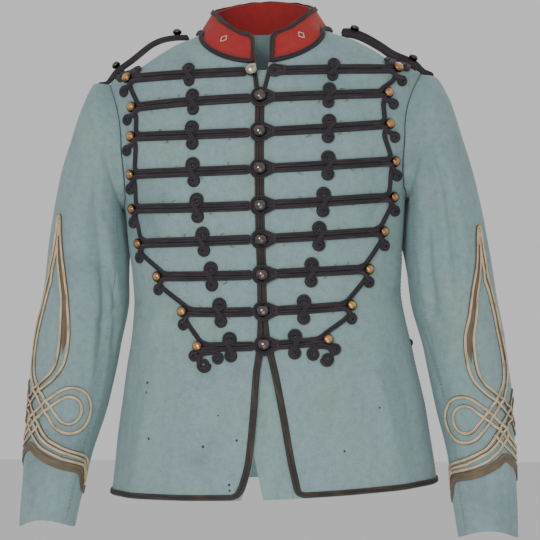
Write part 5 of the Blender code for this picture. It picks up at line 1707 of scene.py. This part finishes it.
    def last_row_end(self):
        """The two inner eyes under the last row and the cord between them."""
        button = row_end(self.side, LAST_ROW)
        eyes = LAST_ROW_EYES[self.side][1:]
        for (out, up, radius), end in zip(eyes, LAST_EYE_ENDS):
            path = smooth_path(self.spiral(beside(button, out, up), radius, end, LAST_EYE_TURN), EYE_PATH_STEP)
            self.lay(path, LAY_GAP + np.linspace(0, 0.5, len(path)))
        tie = [beside(button, eyes[0][0] - along, up) for along, up in LAST_ROW_TIE]
        self.lay(smooth_path(tie, TIE_PATH_STEP), LAY_GAP + 1.4)

    def threads(self):
        """Broken threads that stand out of worn cords."""
        chance = np.random.default_rng(CORD_THREAD_SEEDS[self.side])
        hair = round_section(*CORD_THREAD, sides=5)
        for row in range(2, LAST_ROW):
            furthest = CORD_THREAD_TO * row_end(self.side, row)[0]
            for _ in range(CORD_THREADS):
                x, height = row_place(self.side, row, chance.uniform(CORD_THREAD_FROM, furthest))
                away = chance.choice((-1, 1))
                swing = chance.uniform(-5, 5, 2)
                start = height + 2 * away * STRAND_APART
                drop = away * chance.uniform(1.5, 4.5)
                path = ((x, start), (x + swing[0] / 2, start + drop / 2), (x + swing[1], start + drop))
                path = smooth_path(path, THREAD_PATH_STEP)
                self.lay(path, LAY_GAP + np.linspace(0.8, 0.1, len(path)), hair)


def turn_button(name, foot, normal, radius, metal):
    """A ball button on its flat foot, standing for its node."""
    normal = unit(np.asarray(normal, float))
    aside = unit(np.cross(normal, (0.3, 0.5, 0.81)))
    rim = wheel(aside, np.cross(normal, aside), BUTTON_SIDES)
    rings = []
    for share, up in BUTTON_PROFILE:
        rings.append(foot + max(share, 0.01) * radius * rim + up * crown(radius) * normal)
    book = MeshBook()
    book.tube(rings)
    book.make(f"ball_{name}", [metal], [name], BUTTON_SLOTS[metal])


class JACKET_OT_buttons(bpy.types.Operator):
    """Turn the ball buttons of the middle, of the rows' ends and of the waist"""

    bl_idname = "jacket.buttons"
    bl_label = "Buttons"

    def execute(self, context):
        buttons = settings().buttons
        for row in range(1, LAST_ROW + 1):
            place = (FIRST_BUTTON_PLACE if row == 1 else BUTTON_LINE, float(ROWS.at("height", row)))
            metal = "silver" if row == 1 else "bronze"
            self.sew(f"centre_button_{row}", front, MM_STEPS, place, buttons.centre, CENTRE_BUTTON_LIFT, metal)
            for side, sign in SIDES.items():
                x, height = row_end(side, row)
                name = f"outer_button_{side}_{row}"
                self.sew(name, front, MM_STEPS, (sign * x, height), buttons.outer, BUTTON_LIFT, "brass")
        for side, sign in SIDES.items():
            place = (sign * WAIST_BUTTON_TURN, WAIST_BUTTON_HEIGHT)
            name = f"waist_button_{side}"
            self.sew(name, torso, TORSO_STEPS, place, buttons.small, BUTTON_LIFT, "bronze")
        return {"FINISHED"}

    def sew(self, name, surface, steps, place, radius, lift, metal):
        """A button on a place of a surface."""
        point, _, _, normal = outward(surface, place, steps)
        turn_button(name, point + lift * normal, normal, radius / MM, metal)


class JACKET_OT_shoulder_cords(bpy.types.Operator):
    """Arch a double cord over each shoulder, with its two buttons"""

    bl_idname = "jacket.shoulder_cords"
    bl_label = "Shoulder Cords"

    def execute(self, context):
        radius = settings().buttons.small / MM
        width, height = soutache(*SHOULDER_CORD).T
        for side, sign in SIDES.items():
            base, up = self.line(side, sign)
            far = np.abs(base[:, 0])
            thin = np.interp(far, (CORD_THINS_FROM, SHOULDER_ARCH[-1][0]), (1.0, CORD_THINNEST))
            book = MeshBook()
            for across in (-SHOULDER_CORDS_AWAY, SHOULDER_CORDS_AWAY):
                sway = across * thin + 0.5 * np.sin(np.linspace(0, 9, len(base)) + across)
                spine = base + np.column_stack((0 * sway, sway, CORD_TILT[side] * across * thin))
                aside = np.cross(up, unit(np.gradient(spine, axis=0)))
                size = (thin * rounded_ends(spine, SHOULDER_CORD_END))[:, None]
                book.tube(swept(spine, aside, up, size * width, size * height))
            at = {place: np.argmin(np.abs(far - along)) for place, along in SHOULDER_BUTTONS_AT.items()}
            self.coil(book, base[at["arm"]], up[at["arm"]])
            book.make(f"cord_shoulder_{side}", ["dark cord"], [f"shoulder_cord_{side}"], "dark_cord")
            for place, k in at.items():
                foot = base[k] + SHOULDER_BUTTON_LIFT * up[k]
                turn_button(f"shoulder_button_{side}_{place}", foot, up[k], radius, "bronze")
        return {"FINISHED"}

    def coil(self, book, foot, up):
        """A coil of cord that holds the arm's button and leans to the front."""
        normal = unit(0.45 * up - (0, 0.9, 0))
        aside = unit(np.cross(normal, (0.0, 0.0, 1.0)))
        third = np.cross(aside, normal)
        angles = np.radians(np.linspace(0, COIL_WINDING, COIL_POINTS))
        reach = np.linspace(*COIL_RADII, COIL_POINTS)
        spine = foot + COIL_PLACE
        spine = spine + (reach * np.cos(angles))[:, None] * aside + (reach * np.sin(angles))[:, None] * third
        normals = np.broadcast_to(normal, spine.shape)
        sideways = np.cross(normals, unit(np.gradient(spine, axis=0)))
        book.tube(swept(spine, sideways, normals, *soutache(*COIL_CORD).T))

    def line(self, side, sign):
        """Points and upward directions of a cord's foot along the shoulder."""
        slope = np.linspace(NECK_SIDE, ARMHOLE_TOP, 60)
        ridge = np.concatenate((torso(sign * 90, slope), sleeve(side, 90, np.linspace(0.1, 1.3, 16))))
        places = np.linspace(SHOULDER_ARCH[0][0], SHOULDER_ARCH[-1][0], 120)
        height = np.interp(places, np.abs(ridge[:, 0]), ridge[:, 2]) + ARCH.at(side, places)
        height = np.convolve(np.pad(height, 4, mode="edge"), np.full(9, 1 / 9), mode="valid")
        base = np.column_stack((sign * places, 0 * places, height))
        return base, np.cross(unit(np.gradient(base, axis=0)), (0, sign, 0))


class JACKET_OT_cuff_knots(bpy.types.Operator):
    """Weave the double cream braid of each cuff knot over and under itself"""

    bl_idname = "jacket.cuff_knots"
    bl_label = "Cuff Knots"

    def execute(self, context):
        section = soutache(settings().cord.strand / MM, KNOT_STRAND_RISE, KNOT_STRAND_GROOVE)
        tape = flat_section(1.0, KNOT_CORE_RISE)
        route = self.route()
        core, spread = self.core()
        under = smooth_path(KNOT_UNDER, KNOT_PATH_STEP)
        for side in SIDES:
            surface = cuff_surface(side)
            book = MeshBook()
            for strand in (-1, 1):
                path, over = self.strand(route, strand)
                book.tube(laid_rings(surface, MM_STEPS, path, section, LAY_GAP + over))
            for sign in (-1, 1):
                book.tube(laid_rings(surface, MM_STEPS, core * (sign, 1), tape, LAY_GAP, spread), 1)
                book.tube(laid_rings(surface, MM_STEPS, under * (sign, 1), section, LAY_GAP))
            node = f"cuff_knot_{side}"
            book.make(f"braid_{node}", ["cream braid", "band braid"], [node], "gold_braid")
        return {"FINISHED"}

    def route(self):
        """The knot's middle line from tail to tail by its loops and point, with its strands' half space."""
        angles = np.linspace(-KNOT_LOOP_HALF_TURN, KNOT_LOOP_HALF_TURN, KNOT_LOOP_POINTS)
        step = 2 * KNOT_LOOP_HALF_TURN / (KNOT_LOOP_POINTS - 1)
        loop = arc((KNOT_LOOP_MIDDLE, 0), KNOT_LOOP_RADIUS, -KNOT_LOOP_HALF_TURN, KNOT_LOOP_HALF_TURN, step)
        narrow, more = KNOT_LOOP_SPACE
        loop = np.column_stack((loop, narrow + more * np.cos(np.radians(angles / 2)) ** 2))
        into = np.linspace(KNOT_BRANCH[-1], loop[0], 8)[1:-1]
        out = np.linspace(loop[-1], KNOT_TAIL[0], 8)[1:-1]
        half = np.concatenate((KNOT_BRANCH, into, loop, out, KNOT_TAIL))
        return smooth_path(np.concatenate((half[::-1], half[1:] * (-1, 1, 1))), KNOT_PATH_STEP)

    def core(self):
        """The upper part of a branch, between whose strands a brown tape shows, and the tape's width."""
        path = smooth_path(KNOT_BRANCH, KNOT_PATH_STEP)
        path = path[path[:, 1] > KNOT_CORE_FOOT]
        taper = ease((path[:, 1] - KNOT_CORE_FOOT) / KNOT_CORE_TAPER)
        return path[:, :2], np.maximum((2 * path[:, 2] - KNOT_CORE_MARGIN) * taper, 0.3)

    def strand(self, route, strand):
        """One strand's path beside the middle line, and how far it lifts where it passes over another."""
        line, apart = route[:, :2], route[:, 2]
        ahead = unit(np.gradient(line, axis=0))
        path = line + strand * apart[:, None] * np.column_stack((-ahead[:, 1], ahead[:, 0]))
        lengths = lengths_along(line)
        over = np.zeros(len(path))
        for order, place in enumerate(self.meetings(line, lengths)):
            near = float(np.interp(place, lengths, apart))
            for other in (-1, 1):
                if (order + (strand == other)) % 2 == 0:
                    away = np.abs(lengths - place - other * near)
                    rising = ease((near + KNOT_OVER_REACH - away) / (2 * KNOT_OVER_REACH))
                    over = np.maximum(over, KNOT_OVER * rising)
        return path, over

    def meetings(self, line, lengths):
        """Where the middle line meets itself: distances along it, in the order in which it passes."""
        passes = []
        ahead = np.diff(line, axis=0)
        for i, first in enumerate(ahead):
            gap = line[:-1] - line[i]
            turn = first[0] * ahead[:, 1] - first[1] * ahead[:, 0]
            turn = np.where(np.abs(turn) < 1e-9, np.inf, turn)
            t = (gap[:, 0] * ahead[:, 1] - gap[:, 1] * ahead[:, 0]) / turn
            s = (gap[:, 0] * first[1] - gap[:, 1] * first[0]) / turn
            within = (t >= 0) & (t < 1) & (s >= 0) & (s < 1) & np.isfinite(turn)
            met = within & (np.abs(np.arange(len(t)) - i) > 2)
            passes.extend(lengths[i] + t[met] * (lengths[i + 1] - lengths[i]))
        return sorted(passes)


class JACKET_OT_cuff_bands(bpy.types.Operator):
    """Lay the pointed brown band round each cuff under its knot"""

    bl_idname = "jacket.cuff_bands"
    bl_label = "Cuff Bands"

    def execute(self, context):
        section = flat_section(settings().cord.band / MM, BAND_RISE)
        whole = np.array((math.tau * BAND_RADIUS, 0))
        for side, sign in SIDES.items():
            angles = np.linspace(180, -180, BAND_POINTS + 1)[:-1]
            path = np.column_stack((-np.radians(angles) * BAND_RADIUS, BAND.at("height", -sign * angles)))
            lapped = np.concatenate((path[-3:] - whole, path, path[:3] + whole))
            book = MeshBook()
            book.tube(laid_rings(band_surface(side), MM_STEPS, lapped, section, LAY_GAP)[3:-3], hoop=True)
            book.make(f"braid_cuff_band_{side}", ["band braid"], [f"cuff_band_{side}"], "band_braid")
        return {"FINISHED"}


class JACKET_OT_stage(bpy.types.Operator):
    """Set the camera at the photograph's angle, soft lights and a pale floor"""

    bl_idname = "jacket.stage"
    bl_label = "Stage"

    def execute(self, context):
        stage = settings().stage
        scene = context.scene
        turn = stage.azimuth
        camera = bpy.data.objects.new("camera", bpy.data.cameras.new("camera"))
        camera.data.lens = stage.lens
        camera.data.sensor_width = SENSOR_WIDTH
        aim = np.array((stage.aside * math.cos(turn), stage.aside * math.sin(turn), stage.aim))
        camera.location = aim + stage.distance * np.array((math.sin(turn), -math.cos(turn), 0))
        camera.rotation_euler = (math.pi / 2, 0, turn)
        scene.collection.objects.link(camera)
        scene.camera = camera
        for light in LIGHTS:
            self.light(scene, *light)
        world = bpy.data.worlds.new("studio")
        world.use_nodes = True
        background = world.node_tree.nodes["Background"]
        background.inputs["Color"].default_value = (*stage.pale, 1)
        background.inputs["Strength"].default_value = SURROUND_STRENGTH
        scene.world = world
        self.floor(scene, stage)
        return {"FINISHED"}

    def light(self, scene, name, place, size, power):
        """A soft box that faces the jacket's middle."""
        lamp = bpy.data.lights.new(name, "AREA")
        lamp.size = size
        lamp.energy = power
        obj = bpy.data.objects.new(name, lamp)
        obj.location = place
        x, y, z = unit(np.subtract(LIGHTS_AIM, place))
        obj.rotation_euler = (math.acos(-z), 0, math.atan2(y, x) - math.pi / 2)
        scene.collection.objects.link(obj)

    def floor(self, scene, stage):
        mesh = bpy.data.meshes.new("floor")
        square = ((-1, -1), (1, -1), (1, 1), (-1, 1))
        corners = [(x * FLOOR_REACH, y * FLOOR_REACH, stage.floor) for x, y in square]
        mesh.from_pydata(corners, [], [(0, 1, 2, 3)])
        obj = bpy.data.objects.new("floor", mesh)
        scene.collection.objects.link(obj)
        material, tree, shader, _ = new_finish("pale floor", 0.9)
        tone = noise(tree, object_place(tree), scale=1.5)
        paint(tree, shader, ramp(tree, tone, ((0.3, shaded(stage.pale, 0.98)), (0.7, stage.pale))))
        mesh.materials.append(material)


class JACKET_PT_sidebar(bpy.types.Panel):
    """Steps and sizes of the jacket"""

    bl_idname = "JACKET_PT_sidebar"
    bl_label = "Hussar Jacket"
    bl_space_type = "VIEW_3D"
    bl_region_type = "UI"
    bl_category = "Jacket"

    def draw(self, context):
        for operator in OPERATORS:
            self.layout.operator(operator.bl_idname)
        for group in (settings().cloth, settings().cord, settings().buttons, settings().stage):
            box = self.layout.box()
            for name in group.__annotations__:
                box.prop(group, name)


class JacketSettings(bpy.types.PropertyGroup):
    """All settings of the jacket."""

    cloth: bpy.props.PointerProperty(type=JacketCloth, name="Cloth", description="Cloth of the jacket")
    cord: bpy.props.PointerProperty(type=JacketCord, name="Cord", description="Cords, braids and knots")
    buttons: bpy.props.PointerProperty(type=JacketButtons, name="Buttons", description="Ball buttons")
    stage: bpy.props.PointerProperty(type=JacketStage, name="Stage", description="Camera, lights and floor")


OPERATORS = (
    JACKET_OT_stage,
    JACKET_OT_body,
    JACKET_OT_sleeves,
    JACKET_OT_collar,
    JACKET_OT_underlap,
    JACKET_OT_edge_braids,
    JACKET_OT_frogging,
    JACKET_OT_buttons,
    JACKET_OT_shoulder_cords,
    JACKET_OT_cuff_knots,
    JACKET_OT_cuff_bands,
)
CLASSES = (JacketCloth, JacketCord, JacketButtons, JacketStage, JacketSettings, *OPERATORS, JACKET_PT_sidebar)


def register():
    for cls in CLASSES:
        bpy.utils.register_class(cls)
    bpy.types.Scene.hussar_jacket = bpy.props.PointerProperty(type=JacketSettings)


def unregister():
    del bpy.types.Scene.hussar_jacket
    for cls in reversed(CLASSES):
        bpy.utils.unregister_class(cls)


def main():
    register()
    for operator in OPERATORS:
        group, name = operator.bl_idname.split(".")
        getattr(getattr(bpy.ops, group), name)()


if __name__ == "__main__":
    main()
